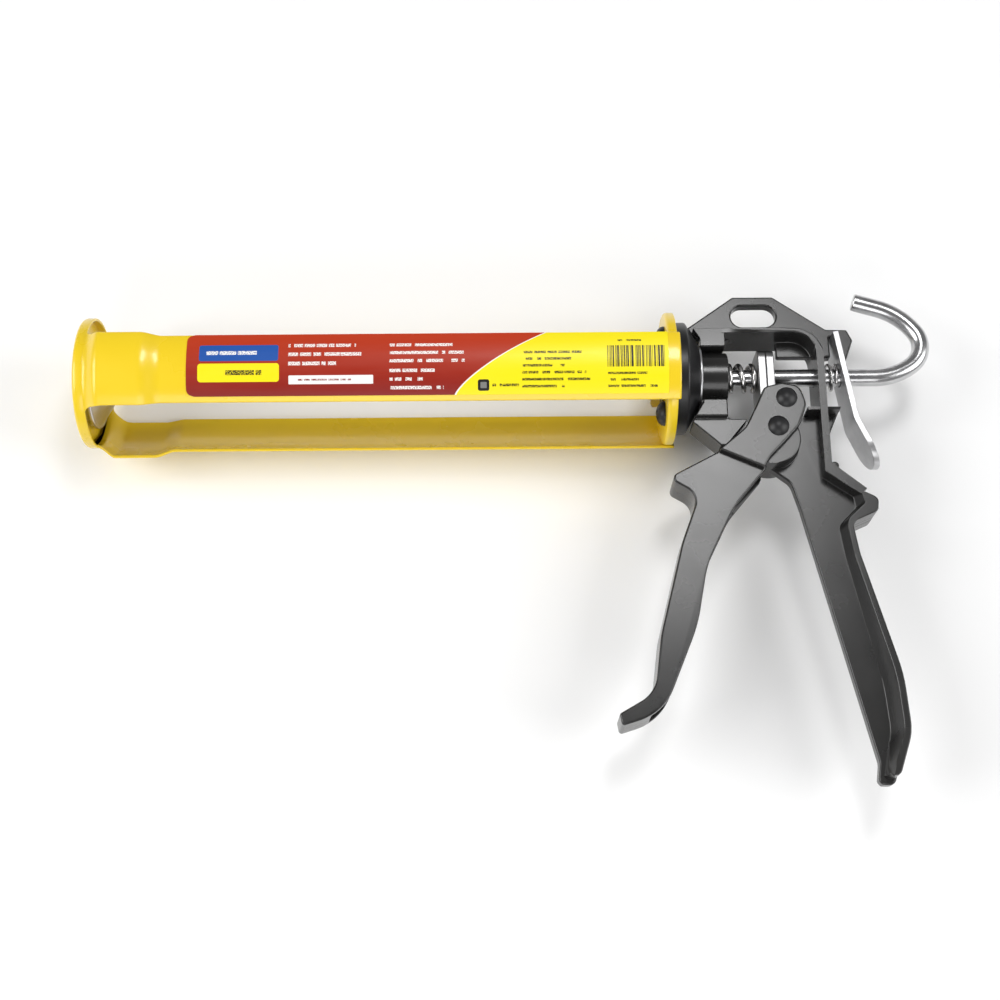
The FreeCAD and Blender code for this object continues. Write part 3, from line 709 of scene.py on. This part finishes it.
def hexagon_rings(flats: float, bore: float, start: float, end: float) -> np.ndarray:
    """Rings of a hexagonal nut about the X axis, chamfered as a cone cuts it.

    At an angle the flat stands at half the flats divided by the cosine of the angle from its middle. A
    face is flat out to nearly the flats' radius, then falls back at thirty degrees with the radius.

    Args:
        flats: Size across flats, in millimetres.
        bore: Radius of the bore.
        start: Place of the front face.
        end: Place of the rear face.

    Returns:
        Rings by places by three, in metres, to be joined at their ends.
    """
    angle = np.linspace(0, 2 * math.pi, 3 * FINE_TURN // 2, endpoint=False)
    from_middle = (angle + math.pi / 6) % (math.pi / 3) - math.pi / 6
    outer = flats / 2 / np.cos(from_middle)
    share = np.concatenate([[0.0, 0.05], np.linspace(0.3, 1.0, 8)])[:, None]
    radius = bore + share * (outer[None] - bore)
    chamfer = math.radians(30)
    fall = np.maximum(radius - 0.95 * flats / 2, 0.0) * math.tan(chamfer)
    front = start + fall
    back = end - fall[::-1]
    place = np.vstack([front, back])
    radius = np.vstack([radius, radius[::-1]])
    return np.stack([place, radius * np.cos(angle), radius * np.sin(angle)], axis=-1) * MM


def about_rod(rings: np.ndarray, degrees: float) -> np.ndarray:
    """Points turned about the rod's axis.

    Args:
        rings: Points by three.
        degrees: The turn, from Y towards Z.

    Returns:
        The turned points.
    """
    turn = math.radians(degrees)
    x, y, z = np.moveaxis(rings, -1, 0)
    return np.stack([x, y * math.cos(turn) - z * math.sin(turn),
                     y * math.sin(turn) + z * math.cos(turn)], -1)


def box_of(node: str) -> tuple[Vector, Vector]:
    """Lowest and highest corner of a CAD node, in millimetres."""
    low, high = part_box(node)
    return low / MM, high / MM


def folded(work: bmesh.types.BMesh, surface: BVHTree, least: float) -> list[bmesh.types.BMVert]:
    """Corners of triangles that face against the surface beside them.

    Args:
        work: The rounded mesh.
        surface: The mesh before it was rounded.
        least: Area in square metres below which a triangle doesn't matter.

    Returns:
        The corners.
    """
    found = []
    for corners in work.calc_loop_triangles():
        a, b, c = (corner.vert.co for corner in corners)
        facing = (b - a).cross(c - a)
        if facing.length <= 2 * least:
            continue
        beside = surface.find_nearest((a + b + c) / 3)[1]
        if facing.normalized().dot(beside) < TURNED_AWAY:
            found += [corner.vert for corner in corners]
    return found


def edges_rounded(base: bmesh.types.BMesh, width: float, sharp: float) -> bmesh.types.BMesh:
    """Round a mesh's sharp edges, as far as they come out clean.

    Where slivers meet an edge, its rounding would shoot out of the surface or fold a face over. A point
    is out when it lies further than a share of the width from the surface. The edges beside such points
    are then left as they were, and the rest are rounded again from the start. Folds are looked for in the
    same way once no point is out.

    Args:
        base: The mesh, which is left as it is.
        width: Width of the rounding, in metres.
        sharp: Degrees between faces above which an edge is rounded.

    Returns:
        The rounded mesh.
    """
    surface = BVHTree.FromBMesh(base)
    base.edges.index_update()
    chosen = {edge.index for edge in base.edges
              if edge.is_manifold and edge.calc_face_angle(0.0) > math.radians(sharp)}
    along = np.linspace(0, 1, 5)
    spots = KDTree(len(chosen) * len(along))
    for edge in base.edges:
        if edge.index in chosen:
            for share in along:
                spots.insert(edge.verts[0].co.lerp(edge.verts[1].co, share), edge.index)
    spots.balance()
    while True:
        work = base.copy()
        work.edges.ensure_lookup_table()
        edges = [work.edges[index] for index in sorted(chosen)]
        bmesh.ops.bevel(work, geom=edges, offset=width, segments=3, profile=0.5, affect="EDGES",
                        clamp_overlap=False, offset_type="WIDTH")
        work.normal_update()
        bad = [vert for vert in work.verts if surface.find_nearest(vert.co)[3] > OUT_SHARE * width]
        bad = bad or folded(work, surface, (FOLD_SIDE * MM) ** 2)
        beside = {edge.other_vert(vert) for vert in bad for edge in vert.link_edges} | set(bad)
        near = (spot for vert in beside for spot in spots.find_range(vert.co, BESIDE_SHARE * width))
        drop = {spot[1] for spot in near}
        if not drop & chosen:
            return work
        chosen -= drop
        work.free()


def softened(node: str, name: str, width: float, sharp: float = 28.0) -> bpy.types.Object:
    """Copy a CAD node as one welded mesh whose sharp edges are rounded.

    Edges are rounded at the full width first, and those that this leaves sharp at a third of it.

    Args:
        node: The CAD node.
        name: The copy's name.
        width: Width of the rounding, in millimetres.
        sharp: Degrees between faces above which an edge is rounded.

    Returns:
        The copy.
    """
    base = bmesh.new()
    base.from_mesh(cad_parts[node].data)
    bmesh.ops.remove_doubles(base, verts=base.verts, dist=WELD * MM)
    bmesh.ops.dissolve_limit(base, angle_limit=math.radians(NEARLY_FLAT), verts=base.verts[:],
                             edges=base.edges[:], delimit=set())
    wide = edges_rounded(base, width * MM, sharp)
    fine = edges_rounded(wide, width / 3 * MM, sharp)
    mesh = bpy.data.meshes.new(name)
    fine.to_mesh(mesh)
    for work in (base, wide, fine):
        work.free()
    thing = shown(name, mesh, 38.0)
    even = thing.modifiers.new("even_shading", "WEIGHTED_NORMAL")
    even.keep_sharp = True
    return thing


def dressed(thing: bpy.types.Object, finish: Paint | Metal | LabelPrint, node: str,
            body: str | None = None) -> bpy.types.Object:
    """Finish a piece.

    Args:
        thing: The piece.
        finish: Its finish.
        node: The CAD node that it stands for.
        body: The body that it rides on, or none where it stretches between two.

    Returns:
        The piece.
    """
    thing.data.materials.append(material_of(finish))
    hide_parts(node)
    if body:
        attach(thing, body)
    LOG.info("%s: %d faces, stands for %s", thing.name, len(thing.data.polygons), node)
    return thing


def hex_nut(node: str, name: str, flats: float, bore: float, body: str) -> None:
    """Make a zinc-plated hexagonal nut, as thick as its node's box.

    Args:
        node: The CAD node.
        name: The piece's name.
        flats: Size across flats, in millimetres.
        bore: Radius of the bore.
        body: The body that it rides on.
    """
    low, high = box_of(node)
    skin = Skin.over(hexagon_rings(flats, bore, low.x, high.x), ends=Ends.JOINED)
    dressed(skin.mesh_object(name), ZINC, node, body)


# ------------------------------------------------------------------ cradle
@dataclass(frozen=True)
class Cradle:
    """Yellow half barrel with its label, pan, collar and screws. Sizes are millimetres and degrees."""

    turn: float = -14.7
    cup_face: float = -234.5
    cup_radius: float = 26.6
    cup_depth: float = 4.6
    nozzle: float = 11.5
    wall: float = 1.2
    bend: float = 1.6
    arm_inner: float = 27.15
    arm_arc: float = 58.5
    arm_spread: float = 129.5
    arm_root: float = 1.4
    arm_tuck: float = 0.04
    joggle: float = 2.37
    ramp: float = 8.5
    joggle_len: float = 17.5
    arm_end: float = 5.0
    flare_len: float = 9.0
    flare_out: float = 4.6
    label_front: float = -190.0
    label_arc: float = 52.5
    label_shift: float = 2.4
    label_corner: float = 3.0
    label_gap: float = 0.02
    label_thick: float = 0.13
    pan_radius: float = 27.1
    pan_wall: float = 1.4
    pan_depth: float = 4.0
    bore: float = 8.1
    collar_radius: float = 23.0
    collar_rim: float = 7.4
    collar_len: float = 12.8
    collar_small: float = 14.0
    screw_circle: float = 17.6
    screw_head: float = 5.0
    screw_dome: float = 3.6
    screw_brim: float = 0.3
    cross_depth: float = 1.3
    cross_reach: float = 2.1
    cross_half: float = 0.35
    shank: float = 2.0
    shank_len: float = 9.2
    lug_radius: float = 4.4
    lug_front: float = 2.0
    lug_back: float = 9.8

    def cup_rings(self) -> np.ndarray:
        """Front cup: a sheet profile turned about the rod's axis.

        Returns:
            Rings by places by three, to be joined at their ends.
        """
        front = self.cup_face - self.wall
        rim = front + self.cup_depth
        inner = self.cup_radius - self.wall
        edge, hole_edge = 0.5, 0.4
        profile = rounded([(front, self.nozzle, hole_edge), (front, self.cup_radius, self.bend),
                           (rim, self.cup_radius, edge), (rim, inner, edge),
                           (self.cup_face, inner, edge), (self.cup_face, self.nozzle, hole_edge)])
        return turned(profile, 2 * FINE_TURN)

    def arm_rings(self, middle: float) -> np.ndarray:
        """One arm, as a closed band carried along the rod's direction.

        The inner radius rises from the cup to the joggle and falls again to the barrel by smooth steps.
        The half angle widens near the cup by a quarter ellipse. Round the band, the points follow the
        outer arc, half a circle over the edge, the inner arc and half a circle back. The thickness
        closes to nothing at both ends by a quarter circle.

        Args:
            middle: Angle of the arm's middle, in degrees from Y towards Z, before the cradle's turn.

        Returns:
            Rings by places by three.
        """
        root = self.cup_face + self.arm_root
        rim_back = self.cup_face - self.wall + self.cup_depth
        crest = self.cup_face + self.ramp
        crest_end = crest + self.joggle_len
        straight = crest_end + self.ramp
        early, late, soft = 0.4, 1.5, 0.5
        cap = self.wall / 2 * np.sin(np.linspace(0, math.pi / 2, 6))
        x = np.concatenate([root + np.linspace(0, straight + 2 - root, 110),
                            np.linspace(straight + 4, self.arm_end - self.wall, 70),
                            self.arm_end - self.wall / 2 + cap])[:, None]
        rise = smooth_step((x - rim_back + early) / (crest + late - rim_back))
        fall = smooth_step((x - crest_end + soft) / (self.ramp + soft))
        start = self.cup_radius - self.wall - self.arm_tuck
        inner = start + (self.arm_inner + self.joggle - start) * rise - self.joggle * fall
        from_rim = np.clip((x - rim_back) / self.flare_len, 0.0, 1.0)
        flare = self.flare_out * (1 - np.sqrt(1 - (1 - from_rim) ** 2))
        to_end = np.clip((self.arm_end - x) / (self.wall / 2), 0.0, 1.0)
        thick = self.wall / 2 * np.sqrt(1 - (1 - to_end) ** 2)
        centre = inner + self.wall / 2
        half = np.radians(self.arm_arc / 2) + (flare - self.wall / 2) / centre
        over = np.linspace(math.pi / 2, -math.pi / 2, 9)[1:-1]
        side = np.linspace(-1, 1, 33)
        flat, turn = np.ones(side.size), np.ones(over.size)
        across = np.concatenate([side, turn, -side, -turn])
        lift = np.concatenate([flat, np.sin(over), -flat, -np.sin(over)])
        out = np.concatenate([0 * flat, np.cos(over), 0 * flat, -np.cos(over)])
        angle = math.radians(middle) + half * across[None] + thick * out[None] / centre
        radius = centre + thick * lift[None]
        return np.stack([np.broadcast_to(x, radius.shape), radius * np.cos(angle),
                         radius * np.sin(angle)], -1) * MM

    def pressing(self) -> None:
        """Cup and arms, one pressing."""
        skin = Skin.over(about_rod(self.cup_rings(), self.turn), ends=Ends.JOINED)
        for side in (-1, 1):
            middle = 180 + side * self.arm_spread / 2
            skin.add(about_rod(self.arm_rings(middle), self.turn))
        dressed(skin.mesh_object("cradle_pressing", 50.0), YELLOW, "cradle_frame", "cradle")

    def pan(self) -> None:
        """Rear pan: a disc with its rim turned back."""
        inner = self.pan_radius - self.pan_wall
        edge, bore_edge = 0.4, 0.2
        profile = rounded([(0, self.bore, bore_edge), (0, self.pan_radius, self.bend),
                           (self.pan_depth, self.pan_radius, edge), (self.pan_depth, inner, edge),
                           (self.pan_wall, inner, edge), (self.pan_wall, self.bore, bore_edge)])
        skin = Skin.over(turned(profile, 2 * FINE_TURN), ends=Ends.JOINED)
        dressed(skin.mesh_object("cradle_pan"), YELLOW, "cradle_rear_pan", "cradle")

    def label(self) -> None:
        """Label: a thin band on the arm at +Z, its front corners rounded.

        A place's share along and across gives its angle and its X, which starts later near the corners
        by a quarter circle.
        """
        along = np.linspace(0, 1, 90)[:, None]
        across = np.linspace(0, 1, 41)[None]
        inner = self.arm_inner + self.wall + self.label_gap
        outer = inner + self.label_thick
        width = math.radians(self.label_arc) * outer
        to_edge = np.minimum(across, 1 - across) * width
        short = np.clip(1 - to_edge / self.label_corner, 0.0, 1.0)
        start = self.label_front + self.label_corner * (1 - np.sqrt(1 - short ** 2))
        x = start - start * along
        middle = 180 - self.arm_spread / 2 - self.label_shift
        angle = np.radians(middle + (across - 0.5) * self.label_arc) + 0 * along
        sheets = [np.stack([x, radius * np.cos(angle), radius * np.sin(angle)], -1) * MM
                  for radius in (outer, inner)]
        rings = np.concatenate([sheets[0], sheets[1][:, ::-1]], axis=1)
        share = (x - self.label_front) / -self.label_front
        place = np.stack([share, across + 0 * along], -1)
        places = np.concatenate([place, place[:, ::-1]], axis=1)
        skin = Skin.over(about_rod(rings, self.turn), places=places)
        dressed(skin.mesh_object("label_film", 60.0), LabelPrint(), "cradle_label", "cradle")

    def screw_spots(self) -> list[tuple[float, float]]:
        """Y and Z of the three screws, before the cradle's turn."""
        return [(self.screw_circle * math.cos(angle), self.screw_circle * math.sin(angle))
                for angle in map(math.radians, (180, 60, 300))]

    def collar(self) -> None:
        """Cast collar: a rim and a cone, with a round lug behind each screw."""
        back = self.pan_wall + self.collar_len
        profile = rounded([(self.pan_wall, self.bore, 0.2), (self.pan_wall, self.collar_radius, 0.6),
                           (self.pan_wall + self.collar_rim, self.collar_radius, 1.2),
                           (back, self.collar_small, 0.8), (back, self.bore, 0.2)])
        skin = Skin.over(about_rod(turned(profile), self.turn), ends=Ends.JOINED)
        lug = rounded([(self.lug_front, 0), (self.lug_front, self.lug_radius, 0.2),
                       (self.lug_back, self.lug_radius, 0.8), (self.lug_back, 0)], closed=False)
        for y, z in self.screw_spots():
            rings = turned(lug, 48, origin=Vector((0, y, z)) * MM)
            skin.add(about_rod(rings, self.turn))
        dressed(skin.mesh_object("collar_casting"), COLLAR_BLACK, "swivel_collar", "cradle")

    def screws(self) -> None:
        """Domed screws with a cross recess.

        The head's height falls from the top of its dome as a circle does, less a recess whose depth fades
        from the middle of each arm of the cross, by the smaller of the two distances from its centre lines.
        """
        count = 96
        share = np.linspace(1, 0, 40)[:, None]
        angle = np.linspace(0, 2 * math.pi, count, endpoint=False)[None]
        radius = self.screw_head * np.sin(share * math.pi / 2)
        y = radius * np.cos(angle)
        z = radius * np.sin(angle)
        dome = (self.screw_dome - self.screw_brim) * np.cos(share * math.pi / 2) + self.screw_brim
        lines = np.minimum(np.abs(y), np.abs(z))
        across = 1 - smooth_step((lines - self.cross_half) / 0.25)
        along = 1 - smooth_step((radius - self.cross_reach) / 0.6)
        ahead = np.stack([-(dome - self.cross_depth * across * along), y, z], -1)[::-1] * MM
        shank = rounded([(0, self.screw_head), (0, self.shank), (self.shank_len, self.shank, 0.4),
                         (self.shank_len, 0)], closed=False)
        behind = turned(shank, count)
        start, following = np.arctan2(behind[0, :2, 2], behind[0, :2, 1])
        ahead = np.roll(ahead, -round(start / (2 * math.pi) * count), axis=1)
        if math.sin(following - start) < 0:
            ahead = np.roll(ahead[:, ::-1], 1, axis=1)
        screw = np.concatenate([ahead, behind])
        places = [np.array([0, *spot]) * MM for spot in self.screw_spots()]
        skin = Skin.over(*(about_rod(screw + place, self.turn) for place in places))
        dressed(skin.mesh_object("collar_screw_set", 40.0), BLACK_STEEL, "collar_screws",
                "cradle")

    def build(self) -> None:
        """Make every piece of the cradle."""
        self.pressing()
        self.pan()
        self.label()
        self.collar()
        self.screws()


# ------------------------------------------------------------------ swivel hardware
@dataclass(frozen=True)
class Swivel:
    """Washer and nut in front of the pan, and the ring behind the collar, in millimetres."""

    bore: float = 8.1
    nut_flats: float = 20.0

    def ring(self, node: str, name: str) -> None:
        """Washer with broken edges, in the box of its node.

        Args:
            node: The CAD node.
            name: The piece's name.
        """
        low, high = box_of(node)
        edge, bore_edge = 0.25, 0.1
        profile = rounded([(low.x, self.bore, bore_edge), (low.x, high.y, edge), (high.x, high.y, edge),
                           (high.x, self.bore, bore_edge)], 4)
        skin = Skin.over(turned(profile), ends=Ends.JOINED)
        dressed(skin.mesh_object(name), ZINC, node, "body")

    def build(self) -> None:
        """Make the three pieces."""
        self.ring("swivel_washer", "swivel_flat_washer")
        self.ring("swivel_friction_ring", "swivel_ring")
        hex_nut("swivel_nut", "swivel_hex_nut", self.nut_flats, self.bore, "body")


# ------------------------------------------------------------------ castings
@dataclass(frozen=True)
class Castings:
    """Body and trigger castings, with their rivets and the release lever. Sizes in millimetres."""

    body_round: float = 0.8
    trigger_round: float = 1.5
    lever_round: float = 0.35
    cheek: float = 12.1
    rivet_head: float = 4.3
    rivet_dome: float = 2.3
    pivot_shank: float = 3.0
    drive_shank: float = 3.4
    stop_x: float = 66.1
    stop_y: float = -41.6
    stop_radius: float = 1.7
    stop_half: float = 9.3

    def body(self) -> None:
        """Body casting, its edges rounded, with the small stop pin at the foot of the column."""
        thing = softened("body_casting", "body_cast", self.body_round)
        dressed(thing, BLACK, "body_casting", "body")
        profile = rounded([(-self.stop_half, 0), (-self.stop_half, self.stop_radius, 0.6),
                           (self.stop_half, self.stop_radius, 0.6), (self.stop_half, 0)], 5, False)
        skin = Skin.over(turned(profile, 40, PIN_AXIS, Vector((self.stop_x, self.stop_y, 0)) * MM))
        dressed(skin.mesh_object("lever_stop_pin"), BLACK, "body_casting", "body")

    def trigger(self) -> None:
        """Trigger casting, its edges rounded."""
        thing = softened("trigger", "trigger_cast", self.trigger_round)
        dressed(thing, BLACK, "trigger", "trigger")

    def rivet(self, node: str, name: str, shank: float) -> None:
        """Rivet whose heads are caps of a sphere with a rounded brim.

        Args:
            node: The CAD node.
            name: The piece's name.
            shank: Radius between the heads.
        """
        low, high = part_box(node)
        centre = Vector(((low.x + high.x) / 2, (low.y + high.y) / 2, 0))
        top = self.cheek + self.rivet_dome
        sphere = (self.rivet_head ** 2 + self.rivet_dome ** 2) / (2 * self.rivet_dome)
        lean = np.linspace(0.0, math.asin(self.rivet_head / sphere), 20)[:-1]
        cap = np.stack([top - sphere * (1 - np.cos(lean)), sphere * np.sin(lean)], -1) * MM
        brim = rounded([(self.cheek + 0.35, self.rivet_head - 0.25),
                        (self.cheek + 0.1, self.rivet_head, 0.12),
                        (self.cheek, self.rivet_head - 0.1), (self.cheek, shank)], 4, False)
        upper = np.vstack([cap, brim])
        lower = upper[::-1] * np.array([-1.0, 1.0])
        skin = Skin.over(turned(np.vstack([upper, lower]), 96, PIN_AXIS, centre))
        dressed(skin.mesh_object(name), BLACK_STEEL, node, "trigger")

    def lever(self) -> None:
        """Release lever, its edges rounded."""
        thing = softened("release_lever", "release_plate", self.lever_round)
        dressed(thing, ZINC, "release_lever", "catch")

    def build(self) -> None:
        """Make the castings, rivets and lever."""
        self.body()
        self.trigger()
        self.rivet("pivot_rivet", "pivot_rivet_set", self.pivot_shank)
        self.rivet("drive_pin", "drive_pin_set", self.drive_shank)
        self.lever()


# ------------------------------------------------------------------ drive and springs
@dataclass(frozen=True)
class Coil:
    """A round-wire spring about the rod, in millimetres, closed at both ends."""

    node: str
    name: str
    wire: float
    radius: float
    turns: float
    moving: str

    def build(self) -> None:
        """Make the spring.

        The centre line goes round the rod's axis at one radius. Its place along X runs from one end to
        the other, eased at both ends so that the last half turn lies flat.
        """
        low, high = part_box(self.node)
        start = low.x + self.wire / 2 * MM
        end = high.x - self.wire / 2 * MM
        per_turn, flat_turns, round_off = 90, 0.35, 0.35
        share = np.linspace(0, 1, int(per_turn * self.turns))
        flat = flat_turns / self.turns
        eased = np.clip((share - flat) / (1 - 2 * flat), 0, 1)
        angle = 2 * math.pi * self.turns * share
        line = np.stack([start + (end - start) * eased, self.radius * MM * np.cos(angle),
                         self.radius * MM * np.sin(angle)], -1)
        tip = np.minimum(share, 1 - share) * 2 * math.pi * self.radius * self.turns
        left = 1 - np.clip(tip / round_off, 0, 1)
        radius = self.wire / 2 * np.sqrt(np.clip(1 - left ** 2, 0.02, 1)) * MM
        rings, places = swept(line, radius, 28)
        skin = Skin.over(rings, places=places)
        thing = dressed(skin.mesh_object(self.name, 60.0), SPRING, self.node)
        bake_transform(thing)


@dataclass(frozen=True)
class Drive:
    """The two gripping plates and both springs. Sizes in millimetres."""

    plate_round: float = 0.5
    coils: tuple[Coil, ...] = (
        Coil("drive_spring", "drive_coil", wire=2.1, radius=5.2, turns=2.6, moving="drive"),
        Coil("release_spring", "release_coil", wire=1.1, radius=5.3, turns=2.4, moving="catch"),
    )

    def build(self) -> None:
        """Make the plates and springs."""
        for end in ("front", "rear"):
            node = f"drive_plate_{end}"
            thing = softened(node, f"grip_plate_{end}", self.plate_round)
            # The plates take the darkened zinc, which paints the shade inside the body's window.
            dressed(thing, ZINC_PAINTED_SHADE, node, "drive")
        for coil in self.coils:
            coil.build()


# ------------------------------------------------------------------ rod and piston
@dataclass(frozen=True)
class PushRod:
    """Rod with its hook, the piston and its two nuts, in millimetres and degrees."""

    radius: float = 3.57
    stub: float = 2.75
    shoulder: float = -220.8
    hook_start: float = 87.0
    bends: tuple[tuple[float, float], ...] = ((26.0, 38.0), (11.0, 125.0), (28.0, 163.0))
    tail: float = 10.3
    tail_round: float = 0.7
    nose: float = 0.6
    break_edge: float = 0.3
    nut_flats: float = 11.0
    piston_radius: float = 18.5
    piston_hub: float = 8.0
    piston_wall: float = 1.5
    piston_bore: float = 2.81

    def path(self) -> tuple[np.ndarray, np.ndarray]:
        """Centre line and radius of the rod.

        The line runs straight to the hook, then along three arcs one after another, each tangent to the
        last, and a short straight tail. An arc's points are its centre less the radius times the normal
        at a heading that turns evenly. The radius steps down at the shoulder and rounds off at each end.

        Returns:
            Points by three and radii, in metres.
        """
        front = box_of("rod")[0].x
        nose = front + self.nose * (1 - np.cos(np.linspace(0, math.pi / 2, 6)))
        step = np.array([self.shoulder - 0.02, self.shoulder, self.shoulder + 0.25])
        straight = np.concatenate([nose, np.linspace(front + 1.0, self.shoulder - 0.5, 8), step,
                                   np.linspace(self.shoulder + 2.0, self.hook_start - 0.5, 150)])
        lines = [np.stack([straight, 0 * straight], -1)]
        place = np.array([self.hook_start, 0.0])
        heading = 0.0
        rim = self.tail_round
        for bend, until in self.bends:
            centre = place + bend * np.array([-math.sin(heading), math.cos(heading)])
            turn = np.linspace(heading, math.radians(until), 34)
            lines.append(centre + bend * np.stack([np.sin(turn), -np.cos(turn)], -1))
            place = lines[-1][-1]
            heading = math.radians(until)
        ahead = np.array([math.cos(heading), math.sin(heading)])
        run = np.concatenate([np.linspace(1.0, self.tail - rim, 8),
                              self.tail - rim + rim * np.sin(np.linspace(0.2, math.pi / 2, 6))])
        lines.append(place + run[:, None] * ahead)
        points = np.vstack(lines)
        keep = np.concatenate([[True], np.linalg.norm(np.diff(points, axis=0), axis=1) > 1e-6])
        points = points[keep]
        radius = np.full(len(points), self.radius)
        before = points[:, 0] < self.shoulder
        radius[before] = self.stub
        radius[(points[:, 0] >= self.shoulder) & (points[:, 0] < self.shoulder + 0.2)] -= self.break_edge
        lead = np.clip((points[:, 0] - front) / self.nose, 0, 1)
        radius = np.where(before, self.stub - self.nose * (1 - lead), radius)
        left = np.linalg.norm(points - points[-1], axis=1) / rim
        end = rim * (1 - np.sqrt(np.clip(1 - (1 - left) ** 2, 0, 1)))
        radius = np.where(left < 1, self.radius - end, radius)
        return np.column_stack([points, np.zeros(len(points))]) * MM, radius * MM

    def rod(self) -> None:
        """Drawn rod with its hook."""
        line, radius = self.path()
        rings, places = swept(line, radius, 64)
        skin = Skin.over(rings, places=places)
        dressed(skin.mesh_object("drawn_rod", 32.0), BRIGHT, "rod", "rod")

    def piston(self) -> None:
        """Dished plate: a sheet profile from the hub to the rim, turned about the rod's axis."""
        low, high = box_of("piston_plate")
        wall, outer, bore = self.piston_wall, self.piston_radius, self.piston_bore
        edge, bore_edge, hub_bend, rim_bend = 0.5, 0.1, 2.0, 1.2
        profile = rounded([(high.x - wall, bore, bore_edge), (high.x - wall, self.piston_hub, hub_bend),
                           (low.x, outer - 1.6, rim_bend), (low.x, outer, edge),
                           (low.x + wall, outer, edge), (low.x + wall, outer - 1.2, edge),
                           (high.x, self.piston_hub + 0.5, hub_bend), (high.x, bore, bore_edge)])
        skin = Skin.over(turned(profile), ends=Ends.JOINED)
        dressed(skin.mesh_object("piston_disc"), DISH_PAINTED_REFLECTION, "piston_plate", "piston")

    def nuts(self) -> None:
        """The two nuts that hold the piston."""
        for end in ("front", "rear"):
            hex_nut(f"piston_{end}_nut", f"{end}_hex_nut", self.nut_flats, self.stub + 0.03, "rod")

    def build(self) -> None:
        """Make the rod, piston and nuts."""
        self.rod()
        self.piston()
        self.nuts()


# ------------------------------------------------------------------ studio
@dataclass(frozen=True)
class Softbox:
    """A soft light that looks at the tool."""

    name: str
    place: tuple[float, float, float]
    size: tuple[float, float]
    radiance: float

    def build(self, target: Vector) -> None:
        """Make the light. Its power is the radiance times pi times its area.

        Args:
            target: Point that the light looks at.
        """
        light = bpy.data.lights.new(self.name, "AREA")
        light.shape = "RECTANGLE"
        light.size, light.size_y = self.size
        light.energy = self.radiance * math.pi * self.size[0] * self.size[1]
        thing = bpy.data.objects.new(self.name, light)
        thing.location = target + Vector(self.place)
        thing.rotation_euler = (-Vector(self.place)).to_track_quat("-Z", "Y").to_euler()
        bpy.context.scene.collection.objects.link(thing)


@dataclass(frozen=True)
class Studio:
    """Pale floor, soft light and the camera. Lengths in metres, angles in degrees."""

    target: tuple[float, float, float] = (-0.0669, -0.0519, 0.0)
    lean: float = 19.0
    distance: float = 0.64
    roll: float = 0.44
    lens: float = 57.6
    floor_size: float = 8.0
    sky_low: float = 0.30
    sky_high: float = 0.14
    lights: tuple[Softbox, ...] = (
        Softbox("key_softbox", (0.185, 0.40, 1.0), (0.24, 0.32), 12.5),
        Softbox("left_softbox", (-1.05, -0.05, 0.85), (0.9, 0.9), 4.8),
        Softbox("right_softbox", (1.20, -0.15, 0.85), (0.9, 0.9), 4.4),
        Softbox("low_softbox", (0.0, -1.20, 0.85), (1.0, 0.7), 2.8),
    )

    def camera(self) -> None:
        """Camera that looks down on the tool, leaning back from straight above."""
        lean = math.radians(self.lean)
        ahead = Vector((0, math.sin(lean), -math.cos(lean)))
        up = Vector((0, math.cos(lean), math.sin(lean)))
        up.rotate(Matrix.Rotation(math.radians(self.roll), 3, ahead))
        right = ahead.cross(up)
        camera = bpy.data.cameras.new("camera")
        camera.lens = self.lens
        camera.sensor_width = 36.0
        thing = bpy.data.objects.new("camera", camera)
        turn = Matrix((right, up, -ahead)).transposed().to_4x4()
        turn.translation = Vector(self.target) - ahead * self.distance
        thing.matrix_world = turn
        bpy.context.scene.collection.objects.link(thing)
        bpy.context.scene.camera = thing

    def floor(self) -> None:
        """Flat floor at the object's lowest point."""
        half = self.floor_size / 2
        height = CAD_BOX[0].z
        corners = [(x * half, y * half, height) for x, y in ((-1, -1), (1, -1), (1, 1), (-1, 1))]
        mesh = bpy.data.meshes.new("floor")
        mesh.from_pydata(corners, [], [(0, 1, 2, 3)])
        mesh.materials.append(material_of(FloorFinish()))
        thing = bpy.data.objects.new("floor", mesh)
        bpy.context.scene.collection.objects.link(thing)

    def sky(self) -> None:
        """Grey surroundings, darker towards the horizon."""
        world = bpy.data.worlds.new("studio_air")
        world.use_nodes = True
        tree = world.node_tree
        place = tree.nodes.new("ShaderNodeTexCoord")
        split = tree.nodes.new("ShaderNodeSeparateXYZ")
        spread = tree.nodes.new("ShaderNodeMapRange")
        ends = {"From Min": 0.05, "From Max": 0.8, "To Min": self.sky_low, "To Max": self.sky_high}
        for key, value in ends.items():
            spread.inputs[key].default_value = value
        tree.links.new(place.outputs["Generated"], split.inputs[0])
        tree.links.new(split.outputs[2], spread.inputs["Value"])
        tree.links.new(spread.outputs["Result"], tree.nodes["Background"].inputs["Strength"])
        tree.nodes["Background"].inputs["Color"].default_value = (1, 1, 1, 1)
        bpy.context.scene.world = world

    def build(self) -> None:
        """Make the camera, floor, surroundings and lights."""
        self.camera()
        self.floor()
        self.sky()
        for light in self.lights:
            light.build(Vector(self.target))
        bpy.context.scene.view_settings.view_transform = "Standard"


def main() -> None:
    """Build the studio and every piece of the tool, in order."""
    logging.basicConfig(level=logging.INFO, format="%(message)s")
    Studio().build()
    Cradle().build()
    Swivel().build()
    Castings().build()
    Drive().build()
    PushRod().build()


if __name__ == "__main__":
    main()
